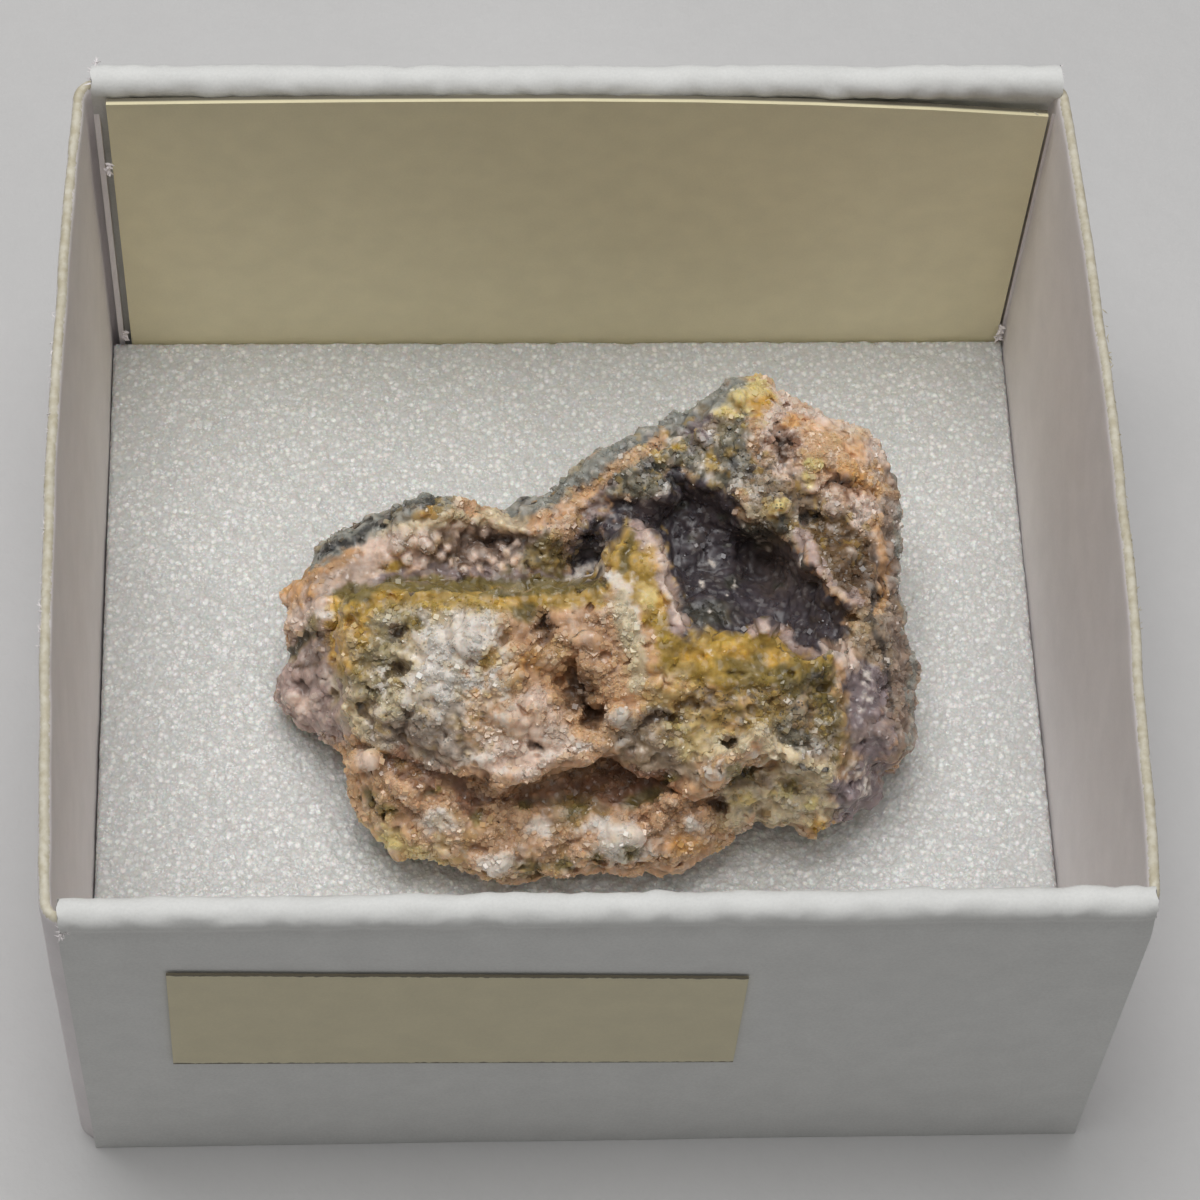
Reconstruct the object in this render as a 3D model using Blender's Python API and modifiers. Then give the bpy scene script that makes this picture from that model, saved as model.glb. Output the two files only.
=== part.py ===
"""A smithsonite specimen resting on foam in a small open card box.

Every size is in millimetres and is turned into metres when a mesh is made. The origin is the
middle of the box's underside, +X is the box's right, +Y its back and +Z up.
"""

import itertools
import math

import bmesh
import bpy
import numpy as np
from mathutils import Vector

MM = 0.001
COLLECTION_NAME = "boxed_smithsonite"
CUTTERS_NAME = "cutters"

# Card box: a thin ring of side walls, with thicker rolled walls at the front and back
WALL_HALF_WIDTH = 21.3
WALL_HALF_LENGTH = 19.85
WALL_HEIGHT = 21.3
WALL_BOW = 0.53
CARD_THICKNESS = 0.5
FLOOR_THICKNESS = 0.6
CORNER_RADIUS = 1.0
ROLLED_WALL_LEFT = -20.55
ROLLED_WALL_RIGHT = 21.0
ROLLED_WALL_HEIGHT = 22.0
ROLLED_WALL_THICKNESS = 1.3
FRONT_FACE_Y = -20.2
BACK_FACE_Y = 20.35
ROLL_RADIUS = 0.6

# Foam pad
FOAM_LEFT = -20.5
FOAM_RIGHT = 20.62
FOAM_FRONT = -18.85
FOAM_BACK = 18.35
FOAM_TOP = 3.2
FOAM_CORNER_RADIUS = 0.45
RESTING_GAP = 0.06

# Name card behind the foam, cut a little out of square
CARD_LEFT = -19.9
CARD_RIGHT = 20.5
CARD_FRONT_Y = 18.5
CARD_SHEET_THICKNESS = 0.35
CARD_TOP_LEFT = 21.07
CARD_TOP_MIDDLE = 21.31
CARD_TOP_RIGHT = 20.22

# Front label, also a little out of square
LABEL_CORNERS = ((-16.83, 9.11), (5.74, 8.54), (5.76, 16.74), (-16.67, 17.68))
LABEL_THICKNESS = 0.1
LABEL_GAP = 0.05

# The stone's relief is laid out on a plane that leans back, as most of its faces do.
# SIGHT_RIGHT and SIGHT_UP run across and up that plane, and SIGHT_OUT points away from it.
SIGHT_RIGHT = np.array((0.99852687, -0.03302698, 0.04305005))
SIGHT_UP = np.array((0.00711622, 0.86627045, 0.49952465))
SIGHT_OUT = np.array((-0.05379077, -0.49848243, 0.86522935))
SIGHT_CENTRE = np.array((0.616, -0.635, 9.2))
SIGHT_DISTANCE = 166.67

STONE_TRIANGLES = 8200
STONE_SUBDIVISIONS = 8
STONE_VOXEL = 0.2
STONE_MIDDLE = (0.5, -0.5)
RIM_ROUNDING = 0.8
FRONT_UNDERCUT = 2.2
BACK_BATTER = 0.2
SIDE_SHARE = 0.45

# Outline of the stone on the sight plane, clockwise from the tip of its left nub
STONE_OUTLINE = (
    (-13.85, -2.2), (-13.3, -1.35), (-13.0, -0.4), (-13.06, 0.8), (-13.06, 1.5), (-12.8, 2.25),
    (-12.4, 2.7), (-12.0, 3.2), (-11.95, 3.6), (-11.7, 4.0), (-10.75, 4.35), (-9.85, 4.8),
    (-8.9, 5.2), (-8.1, 5.65), (-6.8, 6.0), (-6.25, 5.87), (-5.2, 5.46), (-4.5, 5.33),
    (-3.95, 5.15), (-3.4, 5.13), (-3.2, 5.5), (-2.65, 5.98), (-2.0, 6.1), (-1.2, 6.62),
    (-0.65, 7.1), (0.1, 7.6), (1.0, 7.95), (1.75, 8.4), (3.05, 9.1), (4.0, 9.5), (4.7, 9.9),
    (5.8, 10.5), (6.35, 10.67), (6.9, 11.0), (7.45, 10.9), (7.9, 10.5), (8.95, 9.97), (9.85, 9.5),
    (10.95, 8.95), (12.05, 8.4), (12.6, 7.85), (13.0, 7.0), (13.2, 6.1), (13.3, 5.0), (13.2, 3.7),
    (13.1, 2.6), (13.35, 1.7), (13.4, 0.6), (13.6, -0.3), (13.85, -1.45), (13.8, -2.55),
    (13.7, -3.8), (13.6, -4.95), (13.1, -5.4), (12.35, -5.9), (12.25, -6.8), (11.7, -7.3),
    (11.2, -8.0), (10.4, -8.0), (9.95, -8.55), (9.5, -8.4), (8.95, -8.25), (8.2, -7.98),
    (7.3, -8.07), (6.35, -8.6), (5.4, -9.35), (4.3, -9.9), (3.8, -10.45), (2.1, -10.46),
    (1.2, -10.37), (-0.1, -10.2), (-1.55, -10.45), (-2.65, -10.46), (-3.0, -10.75),
    (-3.75, -10.8), (-4.9, -10.46), (-5.8, -10.2), (-6.9, -9.75), (-8.0, -9.55), (-8.9, -9.1),
    (-9.65, -8.25), (-10.2, -7.7), (-10.6, -7.0), (-10.75, -6.05), (-10.76, -4.95), (-11.8, -4.2),
    (-12.9, -3.8),
)

# Heights above the foam at places (u, v) on the sight plane
GROUND_HEIGHTS = (
    # rim, clockwise from the left nub
    (-13.8, -2.2, 2.6), (-13.0, -0.2, 4.2), (-13.0, 1.5, 5.0), (-11.8, 3.9, 6.0),
    (-9.0, 5.1, 7.2), (-6.5, 6.0, 7.8), (-4.0, 5.1, 7.2), (-2.5, 5.9, 7.3), (0.0, 7.5, 7.9),
    (3.0, 9.0, 8.4), (7.0, 10.7, 8.8), (9.5, 9.7, 8.5), (12.3, 8.2, 7.8), (13.2, 6.0, 7.2),
    (13.2, 2.5, 6.4), (13.8, -1.0, 5.2), (13.7, -3.8, 4.6), (12.5, -5.9, 3.9),
    (11.5, -7.6, 3.2), (9.9, -8.4, 3.0), (7.5, -8.0, 2.8), (5.0, -9.6, 2.3), (2.0, -10.4, 2.1),
    (-2.0, -10.5, 2.1), (-5.5, -10.3, 2.1), (-8.5, -9.2, 2.4), (-10.5, -7.4, 2.8),
    (-10.8, -5.0, 3.0), (-12.5, -3.8, 2.5),
    # left shoulder, ridge and groove
    (-12.0, 1.5, 6.3), (-11.3, 2.9, 6.9), (-8.0, 4.7, 8.2), (-6.3, 4.9, 8.3), (-5.0, 3.7, 6.1),
    (-8.0, 3.3, 7.2), (-5.0, 2.4, 6.5), (-1.8, 4.4, 7.6), (-0.4, 3.1, 5.6), (-9.5, 2.2, 6.6),
    (-11.2, -0.5, 5.4), (-12.0, -2.0, 4.2), (-11.2, -3.5, 3.7),
    # wall behind the hollow, peak and right flank
    (0.2, 5.8, 7.6), (1.5, 7.5, 8.7), (4.0, 8.0, 8.3), (6.9, 9.6, 9.8), (10.0, 8.0, 9.5),
    (11.6, 5.4, 8.7), (9.7, 4.9, 8.1), (8.0, 5.3, 8.5), (12.0, 2.0, 7.9), (12.4, 0.0, 7.4),
    (11.2, -3.5, 7.0), (12.7, -4.5, 5.8), (11.2, -7.2, 4.3),
    # lower band and the hollow under the ledge
    (-9.7, -5.6, 5.2), (-7.0, -7.8, 4.4), (-3.0, -8.7, 4.1), (1.0, -8.9, 4.0), (4.0, -8.7, 3.9),
    (-3.0, -7.2, 4.7), (1.0, -6.8, 4.5), (8.0, -7.2, 4.7), (9.6, -6.8, 4.9),
)

HOLLOW_OUTLINE = (
    (0.75, 5.0), (1.0, 5.75), (2.6, 5.7), (3.2, 6.0), (3.4, 6.7), (4.1, 6.8), (5.0, 6.35),
    (5.7, 6.05), (6.4, 5.5), (6.5, 4.9), (7.0, 4.5), (7.8, 4.5), (8.4, 3.9), (8.9, 3.6),
    (9.1, 3.0), (9.6, 2.6), (9.9, 1.9), (10.5, 1.5), (11.1, 1.2), (11.0, 0.6), (11.1, 0.0),
    (11.0, -0.7), (9.0, -2.0), (6.0, -2.0), (2.5, -1.0), (1.0, 1.5), (0.6, 3.4),
)
HOLLOW_HEIGHTS = (
    (1.0, 5.2, 7.2), (2.6, 5.0, 6.4), (3.3, 6.4, 7.3), (4.2, 5.0, 5.8), (3.4, 3.2, 5.4),
    (4.3, 2.0, 5.2), (5.0, 0.6, 6.2), (6.0, 2.4, 5.0), (7.4, 3.1, 4.2), (7.0, 4.3, 6.0),
    (8.5, 3.4, 6.1), (8.5, 1.8, 5.4), (8.8, 0.2, 5.6), (9.9, 1.5, 6.7), (10.6, 0.9, 7.4),
    (10.3, -0.3, 6.8), (5.6, 5.8, 7.2), (6.4, 4.9, 7.0), (7.0, 0.6, 5.2), (4.0, -1.0, 6.0),
    (8.0, -2.0, 6.0),
)

# Raised mass in front: its crest, the pointed tongue, the ochre rim, the arm and the ledge
MASS_OUTLINE = (
    (-10.8, 1.4), (-9.6, 1.75), (-8.0, 2.05), (-5.0, 1.95), (-2.0, 2.0), (0.05, 2.15),
    (0.5, 3.0), (0.9, 3.7), (1.4, 4.15), (1.9, 4.5), (2.4, 4.4), (2.8, 4.0), (3.0, 3.3),
    (3.3, 2.3), (3.5, 1.7), (3.7, 1.1), (4.0, 0.5), (4.1, 0.1), (4.4, -0.15), (5.0, -0.35),
    (5.6, -0.45), (6.1, -0.25), (6.7, 0.0), (7.1, 0.1), (7.5, 0.4), (7.9, 0.25), (8.2, -0.1),
    (8.4, -0.5), (8.8, -0.9), (9.3, -1.05), (9.7, -0.95), (10.0, -0.65), (10.4, -0.45),
    (10.9, -0.5), (11.2, -0.8), (11.3, -1.4), (10.9, -2.4), (10.7, -3.6), (10.85, -4.8),
    (10.9, -5.7), (10.2, -6.15), (9.2, -6.05), (8.5, -5.75), (7.9, -5.45), (7.1, -5.3),
    (6.6, -5.7), (5.9, -6.2), (5.6, -6.65), (5.0, -6.9), (4.4, -7.05), (3.9, -6.6),
    (3.75, -6.05), (2.5, -6.0), (1.8, -5.7), (1.0, -5.3), (0.3, -5.2), (-0.2, -5.4),
    (-1.0, -5.8), (-1.6, -6.1), (-2.2, -6.4), (-3.0, -6.6), (-4.0, -6.85), (-4.5, -6.8),
    (-5.0, -6.2), (-6.5, -5.9), (-7.5, -5.5), (-8.5, -5.2), (-9.3, -4.9), (-10.2, -4.6),
    (-10.55, -4.0), (-10.8, -3.3), (-10.5, -2.4), (-10.4, -1.0), (-10.6, 0.3),
)
MASS_HEIGHTS = (
    (-10.4, 1.2, 9.9), (-7.0, 1.9, 11.0), (-3.0, 1.9, 11.3), (0.0, 2.0, 11.6), (1.2, 3.2, 12.2),
    (2.0, 4.4, 12.6), (2.8, 3.0, 12.2), (3.5, 1.0, 11.7), (5.5, -0.5, 10.8), (7.5, 0.2, 10.7),
    (9.3, -1.1, 9.8), (10.8, -0.7, 9.2), (11.1, -1.3, 8.7), (-10.2, -1.0, 8.8),
    (-7.0, -1.0, 10.2), (-4.8, 0.0, 11.1), (-9.6, -3.3, 7.2), (-7.0, -3.4, 8.7),
    (-7.0, -5.2, 6.7), (-4.0, -4.0, 8.5), (-4.0, -6.4, 6.4), (-2.0, -1.5, 9.9),
    (-1.0, -4.6, 7.9), (0.0, 0.5, 11.0), (1.2, -3.6, 8.7), (2.0, -5.4, 7.0), (3.0, -2.0, 9.9),
    (3.0, -4.5, 8.0), (5.0, -2.5, 9.7), (5.5, -4.6, 8.0), (4.8, -6.6, 6.2), (8.0, -2.3, 9.3),
    (8.0, -4.2, 7.9), (10.3, -2.5, 8.3), (10.3, -5.0, 6.8), (9.8, -5.9, 6.2), (7.1, -4.5, 8.3),
    (2.0, 1.2, 11.5), (-9.0, 0.4, 10.1), (-5.0, -2.2, 10.0),
)

# The cave in the middle of the mass, and the recess under the ledge
CAVE_OUTLINE = (
    (-1.2, -1.0), (-0.6, -1.2), (-0.35, -2.0), (0.2, -2.5), (0.55, -3.1), (0.2, -4.0),
    (-0.3, -4.1), (-1.0, -3.0), (-1.8, -2.5), (-2.0, -2.0),
)
CAVE_DEPTH = 1.9
RECESS_OUTLINE = (
    (-9.2, -5.0), (-7.5, -5.4), (-6.0, -5.6), (-4.6, -6.4), (-3.0, -6.3), (-1.0, -5.4),
    (1.0, -5.0), (2.5, -5.6), (3.9, -6.1), (3.6, -7.0), (2.2, -7.3), (0.5, -7.4), (-1.0, -7.6),
    (-2.6, -7.5), (-4.0, -7.3), (-5.2, -7.5), (-7.0, -6.4), (-8.4, -6.3), (-9.2, -5.8),
)
RECESS_DEPTH = 0.4
OUTLINE_SOFTNESS = 0.12
SOFT_OUTLINE = 0.3
HOLLOW_SOFTNESS = 0.75

# Ridges that stand up along a line: their points, half width and height
RIDGES = (
    (((5.3, -5.7), (6.2, -5.1), (7.0, -4.5), (7.9, -5.0), (9.0, -5.6), (10.1, -6.0)), 0.6, 1.1),
    (((4.4, -6.6), (5.3, -6.0), (6.4, -4.7)), 0.45, 0.4),
    (((9.2, 4.0), (9.7, 2.8), (10.2, 1.9), (11.5, 1.2)), 0.35, 0.45),
    (((2.9, 4.1), (3.2, 3.0), (3.6, 1.6), (4.1, 0.2)), 0.35, 0.3),
    (((-5.0, -5.6), (-4.2, -6.3), (-2.6, -6.1), (-1.2, -5.4), (0.3, -4.9)), 0.5, 0.35),
    (((-9.0, 4.8), (-7.4, 5.3), (-5.8, 5.0), (-4.2, 4.7), (-2.4, 4.3)), 0.45, 0.35),
)

# Rounded lumps: place, radius and height
LUMPS = (
    (7.1, -4.35, 0.55, 0.4), (7.5, 0.2, 0.5, 0.35), (1.2, -3.6, 0.75, 0.55), (8.0, 5.2, 0.75, 0.6),
    (4.4, -8.2, 0.6, 0.45), (2.9, -8.0, 0.5, 0.4), (3.3, -7.2, 0.5, 0.4), (9.9, -8.25, 0.4, 0.4),
    (-9.7, -5.5, 0.7, 0.5), (3.0, 6.0, 0.4, 0.4), (7.9, 6.4, 0.7, 0.3), (-11.4, 0.8, 0.6, 0.4),
    (-5.0, 0.0, 1.1, 0.4), (-3.0, -3.6, 1.0, 0.3), (0.2, -0.9, 0.9, 0.35), (9.4, 7.2, 0.5, 0.3),
    (-6.5, -8.1, 0.8, 0.4), (1.2, -9.0, 1.1, 0.4), (-4.0, -9.9, 0.8, 0.35), (12.9, -4.9, 0.7, 0.5),
    (11.4, -7.3, 0.7, 0.5), (4.7, 8.6, 0.6, 0.4), (6.3, 10.1, 0.5, 0.35), (-8.6, -8.9, 0.8, 0.3),
    (-7.0, 3.7, 0.45, 0.4), (-6.1, 3.8, 0.4, 0.35), (-4.7, 3.4, 0.45, 0.4), (-5.4, 2.8, 0.4, 0.35),
)

# Pits: place, radius along u, radius along v and depth
PITS = (
    (-8.3, -0.1, 0.6, 0.5, 0.7), (-8.4, -1.6, 0.65, 0.55, 0.8), (-3.7, -0.3, 0.4, 0.4, 0.5),
    (-5.3, -1.7, 0.3, 0.25, 0.4), (-9.7, -3.2, 0.55, 0.5, 0.6), (-2.0, 0.35, 0.6, 0.85, 0.9),
    (3.0, -3.6, 1.1, 0.42, 0.8), (5.9, -4.65, 0.5, 0.45, 0.8), (-2.4, -4.8, 0.5, 0.3, 0.5),
    (-4.2, -6.35, 0.55, 0.2, 0.4), (8.1, 8.0, 0.55, 0.85, 1.2), (10.7, 6.35, 0.95, 0.42, 0.9),
    (11.3, 5.4, 0.25, 0.5, 0.7), (9.3, 4.9, 0.6, 0.5, 0.7), (5.4, -7.4, 0.55, 0.5, 0.8),
    (-4.9, -7.8, 0.55, 0.45, 0.5), (-8.8, -7.6, 0.7, 0.45, 0.6), (-2.6, -10.1, 0.7, 0.4, 0.5),
    (0.2, -9.7, 0.5, 0.4, 0.5), (1.7, -9.5, 0.4, 0.4, 0.5), (7.4, 3.2, 0.6, 0.5, 0.8),
    (-0.4, 3.1, 0.7, 0.6, 0.6), (11.1, 0.35, 0.25, 0.6, 0.6), (-4.2, 3.9, 1.2, 0.35, 0.6),
    (1.5, 3.3, 0.22, 0.65, 0.3), (6.0, -1.85, 0.5, 0.18, 0.35), (6.8, -5.95, 0.9, 0.28, 1.0),
    (8.3, -6.6, 0.6, 0.4, 0.5), (-7.0, -3.1, 0.4, 0.35, 0.4), (-0.9, -3.4, 0.9, 0.8, 0.8),
    (-6.8, -7.0, 0.9, 0.35, 0.5), (2.2, -7.9, 0.7, 0.4, 0.5), (3.2, 6.9, 0.7, 0.4, 0.5),
    (6.1, 7.4, 0.6, 0.5, 0.5), (9.7, -2.2, 0.6, 0.3, 0.4), (4.2, -3.1, 0.5, 0.35, 0.5),
)

# Flat breaks on the hidden back and underside: a point on each and its outward direction
BREAKS = (
    ((-7.0, 8.6, 6.0), (-0.35, 0.9, 0.15)), ((3.0, 11.3, 7.0), (-0.28, 0.94, 0.1)),
    ((11.3, 9.4, 6.0), (0.62, 0.76, 0.12)), ((14.0, 2.0, 6.0), (0.97, 0.1, -0.12)),
    ((-12.6, 4.0, 5.5), (-0.82, 0.5, -0.1)), ((7.0, 12.4, 4.6), (0.1, 0.93, -0.35)),
)

# Unevenness of the crust and of the broken rock behind it: size of the waves and their height
CRUST_ROUGHNESS = ((2.2, 0.26), (1.1, 0.16), (0.6, 0.08))
BREAK_ROUGHNESS = ((5.0, 0.7), (2.4, 0.55), (1.1, 0.22))
RELAX_ROUNDS = 14
OUTLINE_WAVES = ((1.1, 0.14), (0.5, 0.12))

NOISE_SEED = 5
NOISE_TABLE = 256


def noise_tables():
    """Shuffled indices and unit directions for the noise."""
    random = np.random.default_rng(NOISE_SEED)
    directions = random.normal(size=(NOISE_TABLE, 3))
    directions /= np.linalg.norm(directions, axis=1)[:, None]
    return random.permutation(NOISE_TABLE), directions


SHUFFLED, DIRECTIONS = noise_tables()


def noise(places):
    """Smooth noise between about -1 and 1 at an array of places."""
    cell = np.floor(places).astype(int)
    inside = places - cell
    fade = inside ** 3 * (inside * (inside * 6 - 15) + 10)
    total = np.zeros(len(places))
    for corner in itertools.product((0, 1), repeat=3):
        ix, iy, iz = ((cell + corner) % NOISE_TABLE).T
        index = SHUFFLED[(SHUFFLED[(SHUFFLED[ix] + iy) % NOISE_TABLE] + iz) % NOISE_TABLE]
        weight = np.prod(np.where(corner, fade, 1 - fade), axis=1)
        total += weight * np.einsum("ij,ij->i", DIRECTIONS[index], inside - corner)
    return total * 1.7


def layered_noise(points, layers):
    """Sum of noise waves given as (size, height) pairs."""
    total = np.zeros(len(points))
    for size, rise in layers:
        total += rise * noise(points / size + size * 7.3)
    return total


def smooth_step(low, high, value):
    """Ramp from 0 at low to 1 at high with level ends."""
    t = np.clip((value - low) / (high - low), 0, 1)
    return t * t * (3 - 2 * t)


def plate_kernel(distance):
    """Thin-plate bending curve."""
    return distance ** 2 * np.log(np.maximum(distance, 1e-6))


def surface_through(spots):
    """A smooth surface through a few (u, v, height) spots, as a function of u and v."""
    spots = np.array(spots)
    count = len(spots)
    gaps = np.hypot(spots[:, None, 0] - spots[:, 0], spots[:, None, 1] - spots[:, 1])
    flat = np.column_stack((np.ones(count), spots[:, :2]))
    system = np.zeros((count + 3, count + 3))
    system[:count, :count] = plate_kernel(gaps)
    system[:count, count:] = flat
    system[count:, :count] = flat.T
    answer = np.linalg.solve(system, np.append(spots[:, 2], (0, 0, 0)))

    def height(u, v):
        total = answer[count] + answer[count + 1] * u + answer[count + 2] * v
        for (spot_u, spot_v, _), weight in zip(spots, answer):
            total = total + weight * plate_kernel(np.hypot(u - spot_u, v - spot_v))
        return total

    return height


def depth_inside(outline, u, v):
    """Distance inside a closed outline, negative outside it."""
    nearest = np.full(len(u), np.inf)
    inside = np.zeros(len(u), dtype=bool)
    for (au, av), (bu, bv) in zip(outline, outline[1:] + outline[:1]):
        along_u, along_v = bu - au, bv - av
        share = ((u - au) * along_u + (v - av) * along_v) / (along_u ** 2 + along_v ** 2)
        share = np.clip(share, 0, 1)
        gap = np.hypot(u - au - share * along_u, v - av - share * along_v)
        nearest = np.minimum(nearest, gap)
        if av != bv:
            crosses = (av > v) != (bv > v)
            inside ^= crosses & (u < au + (v - av) * along_u / along_v)
    return np.where(inside, nearest, -nearest)


def line_distance(points, u, v):
    """Distance to an open line of points."""
    nearest = np.full(len(u), np.inf)
    for (au, av), (bu, bv) in zip(points, points[1:]):
        along_u, along_v = bu - au, bv - av
        share = ((u - au) * along_u + (v - av) * along_v) / (along_u ** 2 + along_v ** 2)
        share = np.clip(share, 0, 1)
        gap = np.hypot(u - au - share * along_u, v - av - share * along_v)
        nearest = np.minimum(nearest, gap)
    return nearest


def relief(u, v):
    """Height of the stone's visible side above the foam at (u, v)."""
    flat = np.column_stack((u, v, np.zeros(len(u))))
    wavy_u = u + layered_noise(flat + 11.5, OUTLINE_WAVES)
    wavy_v = v + layered_noise(flat + 37.5, OUTLINE_WAVES)
    height = surface_through(GROUND_HEIGHTS)(u, v)
    hollow = depth_inside(HOLLOW_OUTLINE, wavy_u, wavy_v)
    share = smooth_step(-SOFT_OUTLINE, HOLLOW_SOFTNESS, hollow)
    height += share * np.minimum(surface_through(HOLLOW_HEIGHTS)(u, v) - height, 0)
    recess = depth_inside(RECESS_OUTLINE, wavy_u, wavy_v)
    height -= RECESS_DEPTH * smooth_step(-SOFT_OUTLINE, SOFT_OUTLINE, recess)
    mass = depth_inside(MASS_OUTLINE, wavy_u, wavy_v)
    share = smooth_step(-OUTLINE_SOFTNESS, OUTLINE_SOFTNESS, mass)
    height += share * (surface_through(MASS_HEIGHTS)(u, v) - height)
    for line, half_width, rise in RIDGES:
        height += rise * smooth_step(1, 0.2, line_distance(line, wavy_u, wavy_v) / half_width)
    for lump_u, lump_v, radius, rise in LUMPS:
        away = np.hypot(wavy_u - lump_u, wavy_v - lump_v) / radius
        height += rise * np.sqrt(np.clip(1 - away ** 2, 0, 1))
    return height


def pit_depth(u, v):
    """How far the cave and the pits sink into the surface at (u, v)."""
    flat = np.column_stack((u, v, np.zeros(len(u))))
    wavy_u = u + layered_noise(flat + 61.5, OUTLINE_WAVES)
    wavy_v = v + layered_noise(flat + 87.5, OUTLINE_WAVES)
    cave = depth_inside(CAVE_OUTLINE, wavy_u, wavy_v)
    total = CAVE_DEPTH * smooth_step(-SOFT_OUTLINE, 2 * SOFT_OUTLINE, cave)
    for pit_u, pit_v, radius_u, radius_v, depth in PITS:
        away = np.hypot((wavy_u - pit_u) / radius_u, (wavy_v - pit_v) / radius_v)
        total = np.maximum(total, depth * smooth_step(1.2, 0.0, away))
    return total


def sight_point(u, v, height):
    """Place in space of a point (u, v) of the sight plane at a height above the foam."""
    lift = SIGHT_RIGHT[2] * u + SIGHT_UP[2] * v
    out = FOAM_TOP + height - SIGHT_CENTRE[2] - lift
    out = out / (SIGHT_OUT[2] - lift / SIGHT_DISTANCE)
    across = np.outer(u, SIGHT_RIGHT) + np.outer(v, SIGHT_UP)
    scale = 1 - out / SIGHT_DISTANCE
    return SIGHT_CENTRE + scale[:, None] * across + np.outer(out, SIGHT_OUT)


def sight_place(points):
    """The (u, v) place on the sight plane of points in space."""
    away = points - SIGHT_CENTRE
    scale = 1 - (away @ SIGHT_OUT) / SIGHT_DISTANCE
    return (away @ SIGHT_RIGHT) / scale, (away @ SIGHT_UP) / scale


def outline_reach(angle):
    """Distance from the stone's middle to its outline at an angle on the sight plane."""
    corners = np.array(STONE_OUTLINE) - STONE_MIDDLE
    angles = np.arctan2(corners[:, 1], corners[:, 0])
    order = np.argsort(angles)
    reach = np.hypot(corners[:, 0], corners[:, 1])[order]
    return np.interp(angle, angles[order], reach, period=2 * math.pi)


def visible_side(angle, share):
    """Points of the side that faces up and forward; share runs from 0 in the middle to 1."""
    reach = outline_reach(angle)
    u = STONE_MIDDLE[0] + share * reach * np.cos(angle)
    v = STONE_MIDDLE[1] + share * reach * np.sin(angle)
    from_rim = np.clip(1 - (1 - share) * reach / RIM_ROUNDING, 0, 1)
    return sight_point(u, v, relief(u, v) - RIM_ROUNDING * (1 - np.sqrt(1 - from_rim ** 2)))


def hidden_side(angle, share):
    """Points of the back and underside; share runs from 0 at the rim to 1 below the middle."""
    rim = visible_side(angle, np.ones(len(angle)))
    base_z = FOAM_TOP + RESTING_GAP
    backward = np.sin(angle)
    middle = sight_point(np.zeros(1), np.zeros(1), np.zeros(1))[0]
    inward = middle[:2] - rim[:, :2]
    inward /= np.linalg.norm(inward, axis=1)[:, None]
    undercut = FRONT_UNDERCUT * (1 - backward) / 2
    batter = BACK_BATTER * (rim[:, 2] - base_z) * np.clip(backward, 0, 1)
    foot = rim[:, :2] + inward * (undercut - batter)[:, None]
    down = np.clip(share / SIDE_SHARE, 0, 1)
    under = np.clip((share - SIDE_SHARE) / (1 - SIDE_SHARE), 0, 1)
    ground = rim[:, :2] + (foot - rim[:, :2]) * (down ** 1.4)[:, None]
    ground += (middle[:2] - foot) * under[:, None]
    z = rim[:, 2] + (base_z - rim[:, 2]) * np.sin(down * math.pi / 2)
    return np.column_stack((ground, z))


def break_off(points, strength):
    """Push points that stand beyond the flat breaks back onto them."""
    for place, direction in BREAKS:
        direction = np.array(direction) / np.linalg.norm(direction)
        beyond = np.clip((points - place) @ direction, 0, None) * strength
        points = points - beyond[:, None] * direction
    return points


def stone_points(directions):
    """Places of the stone's smooth form for directions on a sphere."""
    angle = np.arctan2(directions[:, 1], directions[:, 0])
    tilt = np.arcsin(np.clip(directions[:, 2], -1, 1)) / (math.pi / 2)
    front = tilt >= 0
    points = np.empty((len(directions), 3))
    points[front] = visible_side(angle[front], 1 - tilt[front])
    points[~front] = hidden_side(angle[~front], -tilt[~front])
    return break_off(points, smooth_step(0.0, 0.12, -tilt))


def read_points(mesh):
    """Vertex places of a mesh, in millimetres."""
    points = np.empty(len(mesh.vertices) * 3)
    mesh.vertices.foreach_get("co", points)
    return points.reshape(-1, 3) / MM


def write_points(mesh, points):
    """Move the vertices of a mesh to places in millimetres."""
    mesh.vertices.foreach_set("co", (points * MM).ravel())
    mesh.update()


def read_normals(mesh):
    """Vertex normals of a mesh."""
    normals = np.empty(len(mesh.vertices) * 3)
    mesh.vertices.foreach_get("normal", normals)
    return normals.reshape(-1, 3)


def read_edges(mesh):
    """Vertex pairs of a mesh's edges, each in both directions."""
    edges = np.empty(len(mesh.edges) * 2, dtype=int)
    mesh.edges.foreach_get("vertices", edges)
    edges = edges.reshape(-1, 2)
    return np.concatenate((edges, edges[:, ::-1]))


def relax(points, edges, weight, rounds):
    """Even points out towards their neighbours, each by its own weight."""
    count = np.bincount(edges[:, 0], minlength=len(points))[:, None]
    for _ in range(rounds):
        near = [np.bincount(edges[:, 0], points[edges[:, 1], axis], len(points))
                for axis in range(3)]
        points = points + weight[:, None] * (np.column_stack(near) / count - points)
    return points


def weather(mesh):
    """Even out the broken faces that look back or down, roughen it all and sink the pits."""
    broken = smooth_step(0.3, 0.0, read_normals(mesh) @ SIGHT_OUT)
    write_points(mesh, relax(read_points(mesh), read_edges(mesh), broken, RELAX_ROUNDS))
    points = read_points(mesh)
    crust = layered_noise(points, CRUST_ROUGHNESS)
    rock = layered_noise(points, BREAK_ROUGHNESS)
    shift = crust * (1 - broken) + rock * broken
    points += read_normals(mesh) * shift[:, None]
    sunk = pit_depth(*sight_place(points)) * (1 - broken)
    points -= sunk[:, None] * SIGHT_OUT
    points[:, 2] = np.maximum(points[:, 2], FOAM_TOP + RESTING_GAP)
    write_points(mesh, points)


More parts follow.
